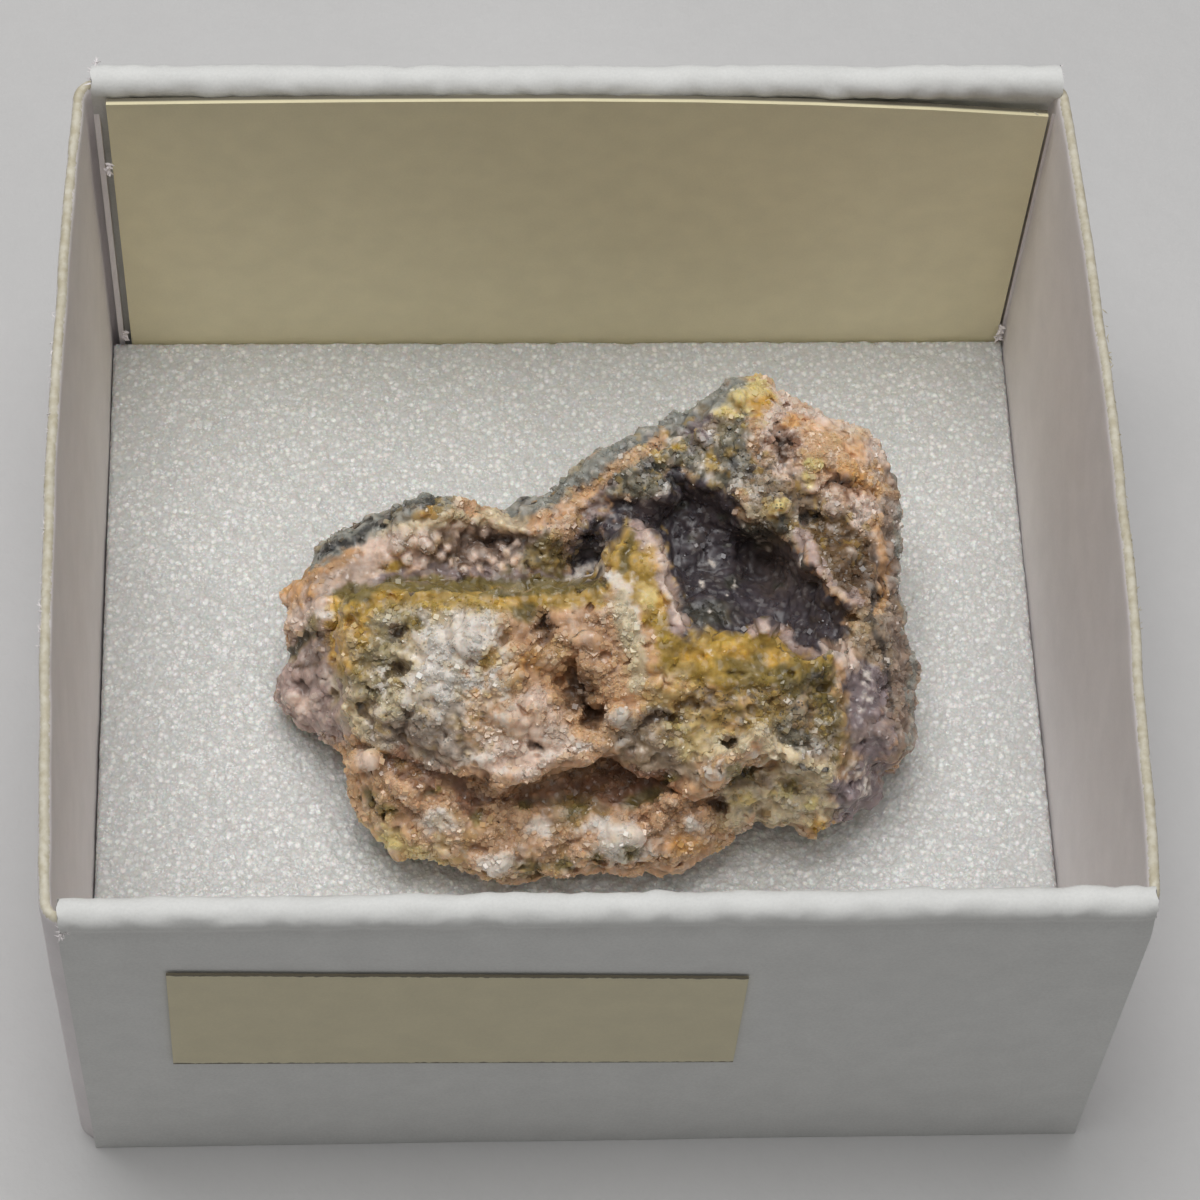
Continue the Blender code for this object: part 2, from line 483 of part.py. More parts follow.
def plain_material(name, colour, roughness):
    """A Principled material of one colour."""
    material = bpy.data.materials.new(name)
    material.use_nodes = True
    shader = material.node_tree.nodes["Principled BSDF"]
    shader.inputs["Base Color"].default_value = (*colour, 1)
    shader.inputs["Roughness"].default_value = roughness
    shader.inputs["Metallic"].default_value = 0
    return material


def place_object(mesh, name, collection, material=None):
    """Put a mesh into a collection under a name."""
    item = bpy.data.objects.new(name, mesh)
    collection.objects.link(item)
    if material:
        mesh.materials.append(material)
    return item


def block(name, low, high, collection, material=None, lengthwise_cuts=0):
    """A box between two corners, cut across Y when it has to bend."""
    low, high = np.array(low), np.array(high)
    form = bmesh.new()
    bmesh.ops.create_cube(form, size=1)
    for vertex in form.verts:
        vertex.co = Vector(((np.array(vertex.co) + 0.5) * (high - low) + low) * MM)
    if lengthwise_cuts:
        long_edges = [e for e in form.edges if abs((e.verts[0].co - e.verts[1].co).y) > MM]
        bmesh.ops.subdivide_edges(form, edges=long_edges, cuts=lengthwise_cuts, use_grid_fill=True)
    mesh = bpy.data.meshes.new(name)
    form.to_mesh(mesh)
    form.free()
    return place_object(mesh, name, collection, material)


def round_edges(item, radius, segments, chosen):
    """Bevel the edges whose two ends both pass a test."""
    form = bmesh.new()
    form.from_mesh(item.data)
    edges = [e for e in form.edges if chosen(e.verts[0].co / MM, e.verts[1].co / MM)]
    bmesh.ops.bevel(form, geom=edges, offset=radius * MM, segments=segments, profile=0.5,
                    affect="EDGES", clamp_overlap=True)
    form.to_mesh(item.data)
    form.free()


def combine(item, other, operation):
    """Add an EXACT Boolean to an object."""
    boolean = item.modifiers.new(other.name, "BOOLEAN")
    boolean.object = other
    boolean.operation = operation
    boolean.solver = "EXACT"
    other.hide_render = True
    other.display_type = "WIRE"


def bow_outward(item):
    """Bend the side walls outward at mid-length, more at the top than at the foot."""
    for vertex in item.data.vertices:
        x, y, z = vertex.co / MM
        along = math.cos(math.pi / 2 * min(1, abs(y) / WALL_HALF_LENGTH))
        lean = WALL_BOW * along * min(1, max(0, z) / WALL_HEIGHT)
        vertex.co.x += math.copysign(lean * MM, x)


def wall_block(name, inset, bottom, top, collection, material=None):
    """A bowed block with upright rounded corners, for the ring of side walls."""
    half_x, half_y = WALL_HALF_WIDTH - inset, WALL_HALF_LENGTH - inset
    item = block(name, (-half_x, -half_y, bottom), (half_x, half_y, top), collection, material,
                 lengthwise_cuts=9)
    radius = CORNER_RADIUS - inset

    def upright_corner(a, b):
        apart = abs(a.z - b.z) > 1
        return apart and abs(abs(a.y) - half_y) < 0.01 and abs(abs(b.y) - half_y) < 0.01

    round_edges(item, radius, 4, upright_corner)
    bow_outward(item)
    return item


def rolled_wall(name, front_y, collection):
    """A double wall whose top is rolled over."""
    item = block(name, (ROLLED_WALL_LEFT, front_y, 0),
                 (ROLLED_WALL_RIGHT, front_y + ROLLED_WALL_THICKNESS, ROLLED_WALL_HEIGHT), collection)

    def top_edge(a, b):
        top = ROLLED_WALL_HEIGHT - 0.01
        return a.z > top and b.z > top and abs(a.x - b.x) > 1

    round_edges(item, ROLL_RADIUS, 5, top_edge)
    return item


def make_card_box(parts, cutters):
    """Ring of side walls with a floor, joined to the two rolled walls."""
    card = plain_material("white_card", (0.62, 0.61, 0.63), 0.75)
    box = wall_block("card_box", 0, 0, WALL_HEIGHT, parts, card)
    inside = wall_block("box_inside", CARD_THICKNESS, FLOOR_THICKNESS, WALL_HEIGHT + 3, cutters)
    combine(box, inside, "DIFFERENCE")
    combine(box, rolled_wall("front_roll", FRONT_FACE_Y, cutters), "UNION")
    combine(box, rolled_wall("back_roll", BACK_FACE_Y - ROLLED_WALL_THICKNESS, cutters), "UNION")


def make_foam_pad(parts):
    """Foam pad with softly rounded edges that fills the box's floor."""
    foam = plain_material("white_foam", (0.72, 0.7, 0.68), 0.6)
    pad = block("foam_pad", (FOAM_LEFT, FOAM_FRONT, FLOOR_THICKNESS + LABEL_GAP),
                (FOAM_RIGHT, FOAM_BACK, FOAM_TOP), parts, foam)
    round_edges(pad, FOAM_CORNER_RADIUS, 3, lambda a, b: a.z + b.z > 2 * FOAM_TOP - 1)


def make_name_card(parts):
    """Beige card standing on edge behind the foam, with a slightly crooked top."""
    beige = plain_material("beige_card", (0.55, 0.48, 0.3), 0.65)
    top = CARD_TOP_MIDDLE
    card = block("name_card", (CARD_LEFT, CARD_FRONT_Y, FLOOR_THICKNESS + LABEL_GAP),
                 (CARD_RIGHT, CARD_FRONT_Y + CARD_SHEET_THICKNESS, top), parts, beige)
    form = bmesh.new()
    form.from_mesh(card.data)
    wide_edges = [e for e in form.edges if abs((e.verts[0].co - e.verts[1].co).x) > MM]
    bmesh.ops.subdivide_edges(form, edges=wide_edges, cuts=7, use_grid_fill=True)
    middle = (CARD_LEFT + CARD_RIGHT) / 2
    for vertex in form.verts:
        if vertex.co.z < (top - 0.01) * MM:
            continue
        x = vertex.co.x / MM
        end, reach = (CARD_TOP_LEFT, CARD_LEFT) if x < middle else (CARD_TOP_RIGHT, CARD_RIGHT)
        share = ((x - middle) / (reach - middle)) ** 2
        vertex.co.z = (top + (end - top) * share) * MM
    form.to_mesh(card.data)
    form.free()


def make_front_label(parts):
    """Thin beige label lying against the front wall."""
    beige = plain_material("label_paper", (0.5, 0.45, 0.33), 0.65)
    outer = FRONT_FACE_Y - LABEL_GAP - LABEL_THICKNESS
    label = block("front_label", (0, outer, 0), (1, outer + LABEL_THICKNESS, 1), parts, beige)
    lower_left, lower_right, upper_right, upper_left = LABEL_CORNERS
    for vertex in label.data.vertices:
        right, high = vertex.co.x > 0.5 * MM, vertex.co.z > 0.5 * MM
        if high:
            x, z = upper_right if right else upper_left
        else:
            x, z = lower_right if right else lower_left
        vertex.co.x, vertex.co.z = x * MM, z * MM


def evenly_meshed(mesh, name):
    """The same closed form with faces of one size all over."""
    form = bpy.data.objects.new(name, mesh)
    bpy.context.scene.collection.objects.link(form)
    remesh = form.modifiers.new("even", "REMESH")
    remesh.mode = "VOXEL"
    remesh.voxel_size = STONE_VOXEL * MM
    evaluated = form.evaluated_get(bpy.context.evaluated_depsgraph_get())
    even = bpy.data.meshes.new_from_object(evaluated)
    bpy.data.objects.remove(form, do_unlink=True)
    return even


def make_stone(parts):
    """The stone: a ball moved to its outline and relief, then thinned to a faceted solid."""
    crust = plain_material("smithsonite_crust", (0.55, 0.36, 0.27), 0.5)
    form = bmesh.new()
    bmesh.ops.create_icosphere(form, subdivisions=STONE_SUBDIVISIONS, radius=1)
    ball = bpy.data.meshes.new("ball")
    form.to_mesh(ball)
    form.free()
    write_points(ball, stone_points(read_points(ball) * MM))
    mesh = evenly_meshed(ball, "smooth_form")
    weather(mesh)
    mesh.materials.clear()
    stone = place_object(mesh, "smithsonite", parts, crust)
    triangles = sum(len(face.vertices) - 2 for face in mesh.polygons)
    thinning = stone.modifiers.new("facets", "DECIMATE")
    thinning.ratio = STONE_TRIANGLES / triangles


def main():
    for item in list(bpy.data.objects):
        bpy.data.objects.remove(item, do_unlink=True)
    parts = bpy.data.collections.new(COLLECTION_NAME)
    cutters = bpy.data.collections.new(CUTTERS_NAME)
    bpy.context.scene.collection.children.link(parts)
    bpy.context.scene.collection.children.link(cutters)
    make_card_box(parts, cutters)
    make_foam_pad(parts)
    make_name_card(parts)
    make_front_label(parts)
    make_stone(parts)


main()
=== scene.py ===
"""The looks of a smithsonite specimen in its small card box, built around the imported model.

Sizes are in millimetres and turned into metres when a mesh is made, unless a name says otherwise.
The origin is the middle of the box's underside, +X is the box's right, +Y its back and +Z up.
"""

import itertools
import math

import bmesh
import bpy
import numpy as np
from mathutils import Matrix, Vector


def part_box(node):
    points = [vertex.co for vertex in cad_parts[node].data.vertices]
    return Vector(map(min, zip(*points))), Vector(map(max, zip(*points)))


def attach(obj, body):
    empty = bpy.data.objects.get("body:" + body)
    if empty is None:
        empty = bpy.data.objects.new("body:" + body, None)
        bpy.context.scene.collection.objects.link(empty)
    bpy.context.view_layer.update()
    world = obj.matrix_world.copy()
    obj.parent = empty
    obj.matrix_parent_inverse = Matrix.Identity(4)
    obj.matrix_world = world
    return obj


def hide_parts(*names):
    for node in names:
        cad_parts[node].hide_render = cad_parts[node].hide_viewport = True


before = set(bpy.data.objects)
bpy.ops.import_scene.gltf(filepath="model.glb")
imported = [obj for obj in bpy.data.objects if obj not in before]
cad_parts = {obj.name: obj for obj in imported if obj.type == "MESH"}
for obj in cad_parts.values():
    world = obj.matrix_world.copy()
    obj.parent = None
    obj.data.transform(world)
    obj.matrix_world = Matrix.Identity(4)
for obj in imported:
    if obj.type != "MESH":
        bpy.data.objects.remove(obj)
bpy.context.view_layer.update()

MM = 0.001
FOAM_TOP = 3.2
RESTING_GAP = 0.06

# Camera, in millimetres
CAMERA_PLACE = (-7.996, -82.538, 154.104)
CAMERA_LENS = 116.64
CAMERA_SENSOR = 36.0

# The stone's relief is laid out on a plane that leans back, as most of its faces do.
# SIGHT_RIGHT and SIGHT_UP run across and up that plane, and SIGHT_OUT points away from it.
SIGHT_RIGHT = np.array((0.99852687, -0.03302698, 0.04305005))
SIGHT_UP = np.array((0.00711622, 0.86627045, 0.49952465))
SIGHT_OUT = np.array((-0.05379077, -0.49848243, 0.86522935))
SIGHT_CENTRE = np.array((0.616, -0.635, 9.2))
SIGHT_DISTANCE = 166.67

STONE_SUBDIVISIONS = 8
STONE_MIDDLE = (0.5, -0.5)
RIM_ROUNDING = 0.8
FRONT_UNDERCUT = 2.2
BACK_BATTER = 0.2
SIDE_SHARE = 0.45

# Outline of the stone on the sight plane, clockwise from the tip of its left nub
STONE_OUTLINE = (
    (-13.85, -2.2), (-13.3, -1.35), (-13.0, -0.4), (-13.06, 0.8), (-13.06, 1.5), (-12.8, 2.25),
    (-12.4, 2.7), (-12.0, 3.2), (-11.95, 3.6), (-11.7, 4.0), (-10.75, 4.35), (-9.85, 4.8), (-8.9, 5.2),
    (-8.1, 5.65), (-6.8, 6.0), (-6.25, 5.87), (-5.2, 5.46), (-4.5, 5.33), (-3.95, 5.15), (-3.4, 5.13),
    (-3.2, 5.5), (-2.65, 5.98), (-2.0, 6.1), (-1.2, 6.62), (-0.65, 7.1), (0.1, 7.6), (1.0, 7.95),
    (1.75, 8.4), (3.05, 9.1), (4.0, 9.5), (4.7, 9.9), (5.8, 10.5), (6.35, 10.67), (6.9, 11.0),
    (7.45, 10.9), (7.9, 10.5), (8.95, 9.97), (9.85, 9.5), (10.95, 8.95), (12.05, 8.4), (12.6, 7.85),
    (13.0, 7.0), (13.2, 6.1), (13.3, 5.0), (13.2, 3.7), (13.1, 2.6), (13.35, 1.7), (13.4, 0.6),
    (13.6, -0.3), (13.85, -1.45), (13.8, -2.55), (13.7, -3.8), (13.6, -4.95), (13.1, -5.4),
    (12.35, -5.9), (12.25, -6.8), (11.7, -7.3), (11.2, -8.0), (10.4, -8.0), (9.95, -8.55), (9.5, -8.4),
    (8.95, -8.25), (8.2, -7.98), (7.3, -8.07), (6.35, -8.6), (5.4, -9.35), (4.3, -9.9), (3.8, -10.45),
    (2.1, -10.46), (1.2, -10.37), (-0.1, -10.2), (-1.55, -10.45), (-2.65, -10.46), (-3.0, -10.75),
    (-3.75, -10.8), (-4.9, -10.46), (-5.8, -10.2), (-6.9, -9.75), (-8.0, -9.55), (-8.9, -9.1),
    (-9.65, -8.25), (-10.2, -7.7), (-10.6, -7.0), (-10.75, -6.05), (-10.76, -4.95), (-11.8, -4.2),
    (-12.9, -3.8),
)

# Heights above the foam at places (u, v) on the sight plane
GROUND_HEIGHTS = (
    # rim, clockwise from the left nub
    (-13.8, -2.2, 2.6), (-13.0, -0.2, 4.2), (-13.0, 1.5, 5.0), (-11.8, 3.9, 6.0), (-9.0, 5.1, 7.2),
    (-6.5, 6.0, 7.8), (-4.0, 5.1, 7.2), (-2.5, 5.9, 7.3), (0.0, 7.5, 7.9), (3.0, 9.0, 8.4),
    (7.0, 10.7, 8.8), (9.5, 9.7, 8.5), (12.3, 8.2, 7.8), (13.2, 6.0, 7.2), (13.2, 2.5, 6.4),
    (13.8, -1.0, 5.2), (13.7, -3.8, 4.6), (12.5, -5.9, 3.9), (11.5, -7.6, 3.2), (9.9, -8.4, 3.0),
    (7.5, -8.0, 2.8), (5.0, -9.6, 2.3), (2.0, -10.4, 2.1), (-2.0, -10.5, 2.1), (-5.5, -10.3, 2.1),
    (-8.5, -9.2, 2.4), (-10.5, -7.4, 2.8), (-10.8, -5.0, 3.0), (-12.5, -3.8, 2.5),
    # left shoulder, ridge and groove
    (-12.0, 1.5, 6.3), (-11.3, 2.9, 6.9), (-8.0, 4.7, 8.2), (-6.3, 4.9, 8.3), (-5.0, 3.7, 6.1),
    (-8.0, 3.3, 7.2), (-5.0, 2.4, 6.5), (-1.8, 4.4, 7.6), (-0.4, 3.1, 5.6), (-9.5, 2.2, 6.6),
    (-11.2, -0.5, 5.4), (-12.0, -2.0, 4.2), (-11.2, -3.5, 3.7),
    # wall behind the hollow, peak and right flank
    (0.2, 5.8, 7.6), (1.5, 7.5, 8.7), (4.0, 8.0, 8.3), (6.9, 9.6, 9.8), (10.0, 8.0, 9.5),
    (11.6, 5.4, 8.7), (9.7, 4.9, 8.1), (8.0, 5.3, 8.5), (12.0, 2.0, 7.9), (12.4, 0.0, 7.4),
    (11.2, -3.5, 7.0), (12.7, -4.5, 5.8), (11.2, -7.2, 4.3),
    # lower band and the hollow under the ledge
    (-9.7, -5.6, 5.2), (-7.0, -7.8, 4.4), (-3.0, -8.7, 4.1), (1.0, -8.9, 4.0), (4.0, -8.7, 3.9),
    (-3.0, -7.2, 4.7), (1.0, -6.8, 4.5), (8.0, -7.2, 4.7), (9.6, -6.8, 4.9),
)

HOLLOW_OUTLINE = (
    (0.75, 5.0), (1.0, 5.75), (2.6, 5.7), (3.2, 6.0), (3.4, 6.7), (4.1, 6.8), (5.0, 6.35), (5.7, 6.05),
    (6.4, 5.5), (6.5, 4.9), (7.0, 4.5), (7.8, 4.5), (8.4, 3.9), (8.9, 3.6), (9.1, 3.0), (9.6, 2.6),
    (9.9, 1.9), (10.5, 1.5), (11.1, 1.2), (11.0, 0.6), (11.1, 0.0), (11.0, -0.7), (9.0, -2.0),
    (6.0, -2.0), (2.5, -1.0), (1.0, 1.5), (0.6, 3.4),
)
HOLLOW_HEIGHTS = (
    (1.0, 5.2, 7.2), (2.6, 5.0, 6.4), (3.3, 6.4, 7.3), (4.2, 5.0, 5.8), (3.4, 3.2, 5.4), (4.3, 2.0, 5.2),
    (5.0, 0.6, 6.2), (6.0, 2.4, 5.0), (7.4, 3.1, 4.2), (7.0, 4.3, 6.0), (8.5, 3.4, 6.1), (8.5, 1.8, 5.4),
    (8.8, 0.2, 5.6), (9.9, 1.5, 6.7), (10.6, 0.9, 7.4), (10.3, -0.3, 6.8), (5.6, 5.8, 7.2),
    (6.4, 4.9, 7.0), (7.0, 0.6, 5.2), (4.0, -1.0, 6.0), (8.0, -2.0, 6.0),
)

# Raised mass in front: its crest, the pointed tongue, the ochre rim, the arm and the ledge
MASS_OUTLINE = (
    (-10.8, 1.4), (-9.6, 1.75), (-8.0, 2.05), (-5.0, 1.95), (-2.0, 2.0), (0.05, 2.15), (0.5, 3.0),
    (0.9, 3.7), (1.4, 4.15), (1.9, 4.5), (2.4, 4.4), (2.8, 4.0), (3.0, 3.3), (3.3, 2.3), (3.5, 1.7),
    (3.7, 1.1), (4.0, 0.5), (4.1, 0.1), (4.4, -0.15), (5.0, -0.35), (5.6, -0.45), (6.1, -0.25),
    (6.7, 0.0), (7.1, 0.1), (7.5, 0.4), (7.9, 0.25), (8.2, -0.1), (8.4, -0.5), (8.8, -0.9), (9.3, -1.05),
    (9.7, -0.95), (10.0, -0.65), (10.4, -0.45), (10.9, -0.5), (11.2, -0.8), (11.3, -1.4), (10.9, -2.4),
    (10.7, -3.6), (10.85, -4.8), (10.9, -5.7), (10.2, -6.15), (9.2, -6.05), (8.5, -5.75), (7.9, -5.45),
    (7.1, -5.3), (6.6, -5.7), (5.9, -6.2), (5.6, -6.65), (5.0, -6.9), (4.4, -7.05), (3.9, -6.6),
    (3.75, -6.05), (2.5, -6.0), (1.8, -5.7), (1.0, -5.3), (0.3, -5.2), (-0.2, -5.4), (-1.0, -5.8),
    (-1.6, -6.1), (-2.2, -6.4), (-3.0, -6.6), (-4.0, -6.85), (-4.5, -6.8), (-5.0, -6.2), (-6.5, -5.9),
    (-7.5, -5.5), (-8.5, -5.2), (-9.3, -4.9), (-10.2, -4.6), (-10.55, -4.0), (-10.8, -3.3),
    (-10.5, -2.4), (-10.4, -1.0), (-10.6, 0.3),
)
MASS_HEIGHTS = (
    (-10.4, 1.2, 9.9), (-7.0, 1.9, 11.0), (-3.0, 1.9, 11.3), (0.0, 2.0, 11.6), (1.2, 3.2, 12.2),
    (2.0, 4.4, 12.6), (2.8, 3.0, 12.2), (3.5, 1.0, 11.7), (5.5, -0.5, 10.8), (7.5, 0.2, 10.7),
    (9.3, -1.1, 9.8), (10.8, -0.7, 9.2), (11.1, -1.3, 8.7), (-10.2, -1.0, 8.8), (-7.0, -1.0, 10.2),
    (-4.8, 0.0, 11.1), (-9.6, -3.3, 7.2), (-7.0, -3.4, 8.7), (-7.0, -5.2, 6.7), (-4.0, -4.0, 8.5),
    (-4.0, -6.4, 6.4), (-2.0, -1.5, 9.9), (-1.0, -4.6, 7.9), (0.0, 0.5, 11.0), (1.2, -3.6, 8.7),
    (2.0, -5.4, 7.0), (3.0, -2.0, 9.9), (3.0, -4.5, 8.0), (5.0, -2.5, 9.7), (5.5, -4.6, 8.0),
    (4.8, -6.6, 6.2), (8.0, -2.3, 9.3), (8.0, -4.2, 7.9), (10.3, -2.5, 8.3), (10.3, -5.0, 6.8),
    (9.8, -5.9, 6.2), (7.1, -4.5, 8.3), (2.0, 1.2, 11.5), (-9.0, 0.4, 10.1), (-5.0, -2.2, 10.0),
)

# The cave in the middle of the mass, and the recess under the ledge
CAVE_OUTLINE = (
    (-1.2, -1.0), (-0.6, -1.2), (-0.35, -2.0), (0.2, -2.5), (0.55, -3.1), (0.2, -4.0), (-0.3, -4.1),
    (-1.0, -3.0), (-1.8, -2.5), (-2.0, -2.0),
)
CAVE_DEPTH = 1.9
RECESS_OUTLINE = (
    (-9.2, -5.0), (-7.5, -5.4), (-6.0, -5.6), (-4.6, -6.4), (-3.0, -6.3), (-1.0, -5.4), (1.0, -5.0),
    (2.5, -5.6), (3.9, -6.1), (3.6, -7.0), (2.2, -7.3), (0.5, -7.4), (-1.0, -7.6), (-2.6, -7.5),
    (-4.0, -7.3), (-5.2, -7.5), (-7.0, -6.4), (-8.4, -6.3), (-9.2, -5.8),
)
RECESS_DEPTH = 0.4
OUTLINE_SOFTNESS = 0.12
SOFT_OUTLINE = 0.3
HOLLOW_SOFTNESS = 0.75

# Ridges that stand up along a line: their points, half width and height
RIDGES = (
    (((5.3, -5.7), (6.2, -5.1), (7.0, -4.5), (7.9, -5.0), (9.0, -5.6), (10.1, -6.0)), 0.6, 1.1),
    (((4.4, -6.6), (5.3, -6.0), (6.4, -4.7)), 0.45, 0.4),
    (((9.2, 4.0), (9.7, 2.8), (10.2, 1.9), (11.5, 1.2)), 0.35, 0.45),
    (((2.9, 4.1), (3.2, 3.0), (3.6, 1.6), (4.1, 0.2)), 0.35, 0.3),
    (((-5.0, -5.6), (-4.2, -6.3), (-2.6, -6.1), (-1.2, -5.4), (0.3, -4.9)), 0.5, 0.35),
    (((-9.0, 4.8), (-7.4, 5.3), (-5.8, 5.0), (-4.2, 4.7), (-2.4, 4.3)), 0.45, 0.35),
)

# Rounded lumps: place, radius and height
LUMPS = (
    (7.1, -4.35, 0.55, 0.4), (7.5, 0.2, 0.5, 0.35), (1.2, -3.6, 0.75, 0.55), (8.0, 5.2, 0.75, 0.6),
    (4.4, -8.2, 0.6, 0.45), (2.9, -8.0, 0.5, 0.4), (3.3, -7.2, 0.5, 0.4), (9.9, -8.25, 0.4, 0.4),
    (-9.7, -5.5, 0.7, 0.5), (3.0, 6.0, 0.4, 0.4), (7.9, 6.4, 0.7, 0.3), (-11.4, 0.8, 0.6, 0.4),
    (-5.0, 0.0, 1.1, 0.4), (-3.0, -3.6, 1.0, 0.3), (0.2, -0.9, 0.9, 0.35), (9.4, 7.2, 0.5, 0.3),
    (-6.5, -8.1, 0.8, 0.4), (1.2, -9.0, 1.1, 0.4), (-4.0, -9.9, 0.8, 0.35), (12.9, -4.9, 0.7, 0.5),
    (11.4, -7.3, 0.7, 0.5), (4.7, 8.6, 0.6, 0.4), (6.3, 10.1, 0.5, 0.35), (-8.6, -8.9, 0.8, 0.3),
    (-7.0, 3.7, 0.45, 0.4), (-6.1, 3.8, 0.4, 0.35), (-4.7, 3.4, 0.45, 0.4), (-5.4, 2.8, 0.4, 0.35),
)

# Pits: place, radius along u, radius along v and depth
PITS = (
    (-8.3, -0.1, 0.6, 0.5, 0.7), (-8.4, -1.6, 0.65, 0.55, 0.8), (-3.7, -0.3, 0.4, 0.4, 0.5),
    (-5.3, -1.7, 0.3, 0.25, 0.4), (-9.7, -3.2, 0.55, 0.5, 0.6), (-2.0, 0.35, 0.6, 0.85, 0.9),
    (3.0, -3.6, 1.1, 0.42, 0.8), (5.9, -4.65, 0.5, 0.45, 0.8), (-2.4, -4.8, 0.5, 0.3, 0.5),
    (-4.2, -6.35, 0.55, 0.2, 0.4), (8.1, 8.0, 0.55, 0.85, 1.2), (10.7, 6.35, 0.95, 0.42, 0.9),
    (11.3, 5.4, 0.25, 0.5, 0.7), (9.3, 4.9, 0.6, 0.5, 0.7), (5.4, -7.4, 0.55, 0.5, 0.8),
    (-4.9, -7.8, 0.55, 0.45, 0.5), (-8.8, -7.6, 0.7, 0.45, 0.6), (-2.6, -10.1, 0.7, 0.4, 0.5),
    (0.2, -9.7, 0.5, 0.4, 0.5), (1.7, -9.5, 0.4, 0.4, 0.5), (7.4, 3.2, 0.6, 0.5, 0.8),
    (-0.4, 3.1, 0.7, 0.6, 0.6), (11.1, 0.35, 0.25, 0.6, 0.6), (-4.2, 3.9, 1.2, 0.35, 0.6),
    (1.5, 3.3, 0.22, 0.65, 0.3), (6.0, -1.85, 0.5, 0.18, 0.35), (6.8, -5.95, 0.9, 0.28, 1.0),
    (8.3, -6.6, 0.6, 0.4, 0.5), (-7.0, -3.1, 0.4, 0.35, 0.4), (-0.9, -3.4, 0.9, 0.8, 0.8),
    (-6.8, -7.0, 0.9, 0.35, 0.5), (2.2, -7.9, 0.7, 0.4, 0.5), (3.2, 6.9, 0.7, 0.4, 0.5),
    (6.1, 7.4, 0.6, 0.5, 0.5), (9.7, -2.2, 0.6, 0.3, 0.4), (4.2, -3.1, 0.5, 0.35, 0.5),
)

# Flat breaks on the hidden back and underside: a point on each and its outward direction
BREAKS = (
    ((-7.0, 8.6, 6.0), (-0.35, 0.9, 0.15)), ((3.0, 11.3, 7.0), (-0.28, 0.94, 0.1)), ((11.3, 9.4, 6.0),
    (0.62, 0.76, 0.12)), ((14.0, 2.0, 6.0), (0.97, 0.1, -0.12)), ((-12.6, 4.0, 5.5), (-0.82, 0.5, -0.1)),
    ((7.0, 12.4, 4.6), (0.1, 0.93, -0.35)),
)

# Unevenness of the crust and of the broken rock behind it: size of the waves and their height
CRUST_ROUGHNESS = ((2.2, 0.26), (1.1, 0.16), (0.6, 0.08))
BREAK_ROUGHNESS = ((5.0, 0.7), (2.4, 0.55), (1.1, 0.22))
RELAX_ROUNDS = 47
OUTLINE_WAVES = ((1.1, 0.14), (0.5, 0.12))

NOISE_SEED = 5
NOISE_TABLE = 256
NOISE_GAIN = 1.7

# Shifts that keep one noise from following another
LAYER_SHIFT = 7.3
RELIEF_SHIFT = 11.5
PIT_SHIFT = 61.5
ACROSS_SHIFT = 26


def noise_tables():
    """Shuffled indices and unit directions for the noise."""
    random = np.random.default_rng(NOISE_SEED)
    directions = random.normal(size=(NOISE_TABLE, 3))
    directions /= np.linalg.norm(directions, axis=1)[:, None]
    return random.permutation(NOISE_TABLE), directions


SHUFFLED, DIRECTIONS = noise_tables()


def shuffled(cells):
    """A steady random index for each cell of the noise."""
    ix, iy, iz = (cells % NOISE_TABLE).T
    return SHUFFLED[(SHUFFLED[(SHUFFLED[ix] + iy) % NOISE_TABLE] + iz) % NOISE_TABLE]


def noise(places):
    """Smooth noise between about -1 and 1 at an array of places."""
    cell = np.floor(places).astype(int)
    inside = places - cell
    fade = inside ** 3 * (inside * (inside * 6 - 15) + 10)
    total = np.zeros(len(places))
    for corner in itertools.product((0, 1), repeat=3):
        directions = DIRECTIONS[shuffled(cell + corner)]
        weight = np.prod(np.where(corner, fade, 1 - fade), axis=1)
        total += weight * np.einsum("ij,ij->i", directions, inside - corner)
    return total * NOISE_GAIN


def layered_noise(points, layers):
    """Sum of noise waves given as (size, height) pairs."""
    total = np.zeros(len(points))
    for size, rise in layers:
        total += rise * noise(points / size + size * LAYER_SHIFT)
    return total


def smooth_step(low, high, value):
    """Ramp from 0 at low to 1 at high with level ends."""
    t = np.clip((value - low) / (high - low), 0, 1)
    return t * t * (3 - 2 * t)


def plate_kernel(distance):
    """Thin-plate bending curve."""
    return distance ** 2 * np.log(np.maximum(distance, 1e-6))


def surface_through(spots):
    """A smooth surface through a few (u, v, height) spots, as a function of u and v."""
    spots = np.array(spots)
    count = len(spots)
    gaps = np.hypot(spots[:, None, 0] - spots[:, 0], spots[:, None, 1] - spots[:, 1])
    flat = np.column_stack((np.ones(count), spots[:, :2]))
    system = np.zeros((count + 3, count + 3))
    system[:count, :count] = plate_kernel(gaps)
    system[:count, count:] = flat
    system[count:, :count] = flat.T
    answer = np.linalg.solve(system, np.append(spots[:, 2], (0, 0, 0)))

    def height(u, v):
        total = answer[count] + answer[count + 1] * u + answer[count + 2] * v
        for (spot_u, spot_v, _), weight in zip(spots, answer):
            total = total + weight * plate_kernel(np.hypot(u - spot_u, v - spot_v))
        return total

    return height


def line_gap(start, end, u, v):
    """Distance of places (u, v) to a straight line between two points."""
    (au, av), (bu, bv) = start, end
    along_u, along_v = bu - au, bv - av
    share = ((u - au) * along_u + (v - av) * along_v) / (along_u ** 2 + along_v ** 2)
    share = np.clip(share, 0, 1)
    return np.hypot(u - au - share * along_u, v - av - share * along_v)


def line_distance(points, u, v):
    """Distance to an open line of points."""
    nearest = np.full(len(u), np.inf)
    for start, end in zip(points, points[1:]):
        nearest = np.minimum(nearest, line_gap(start, end, u, v))
    return nearest


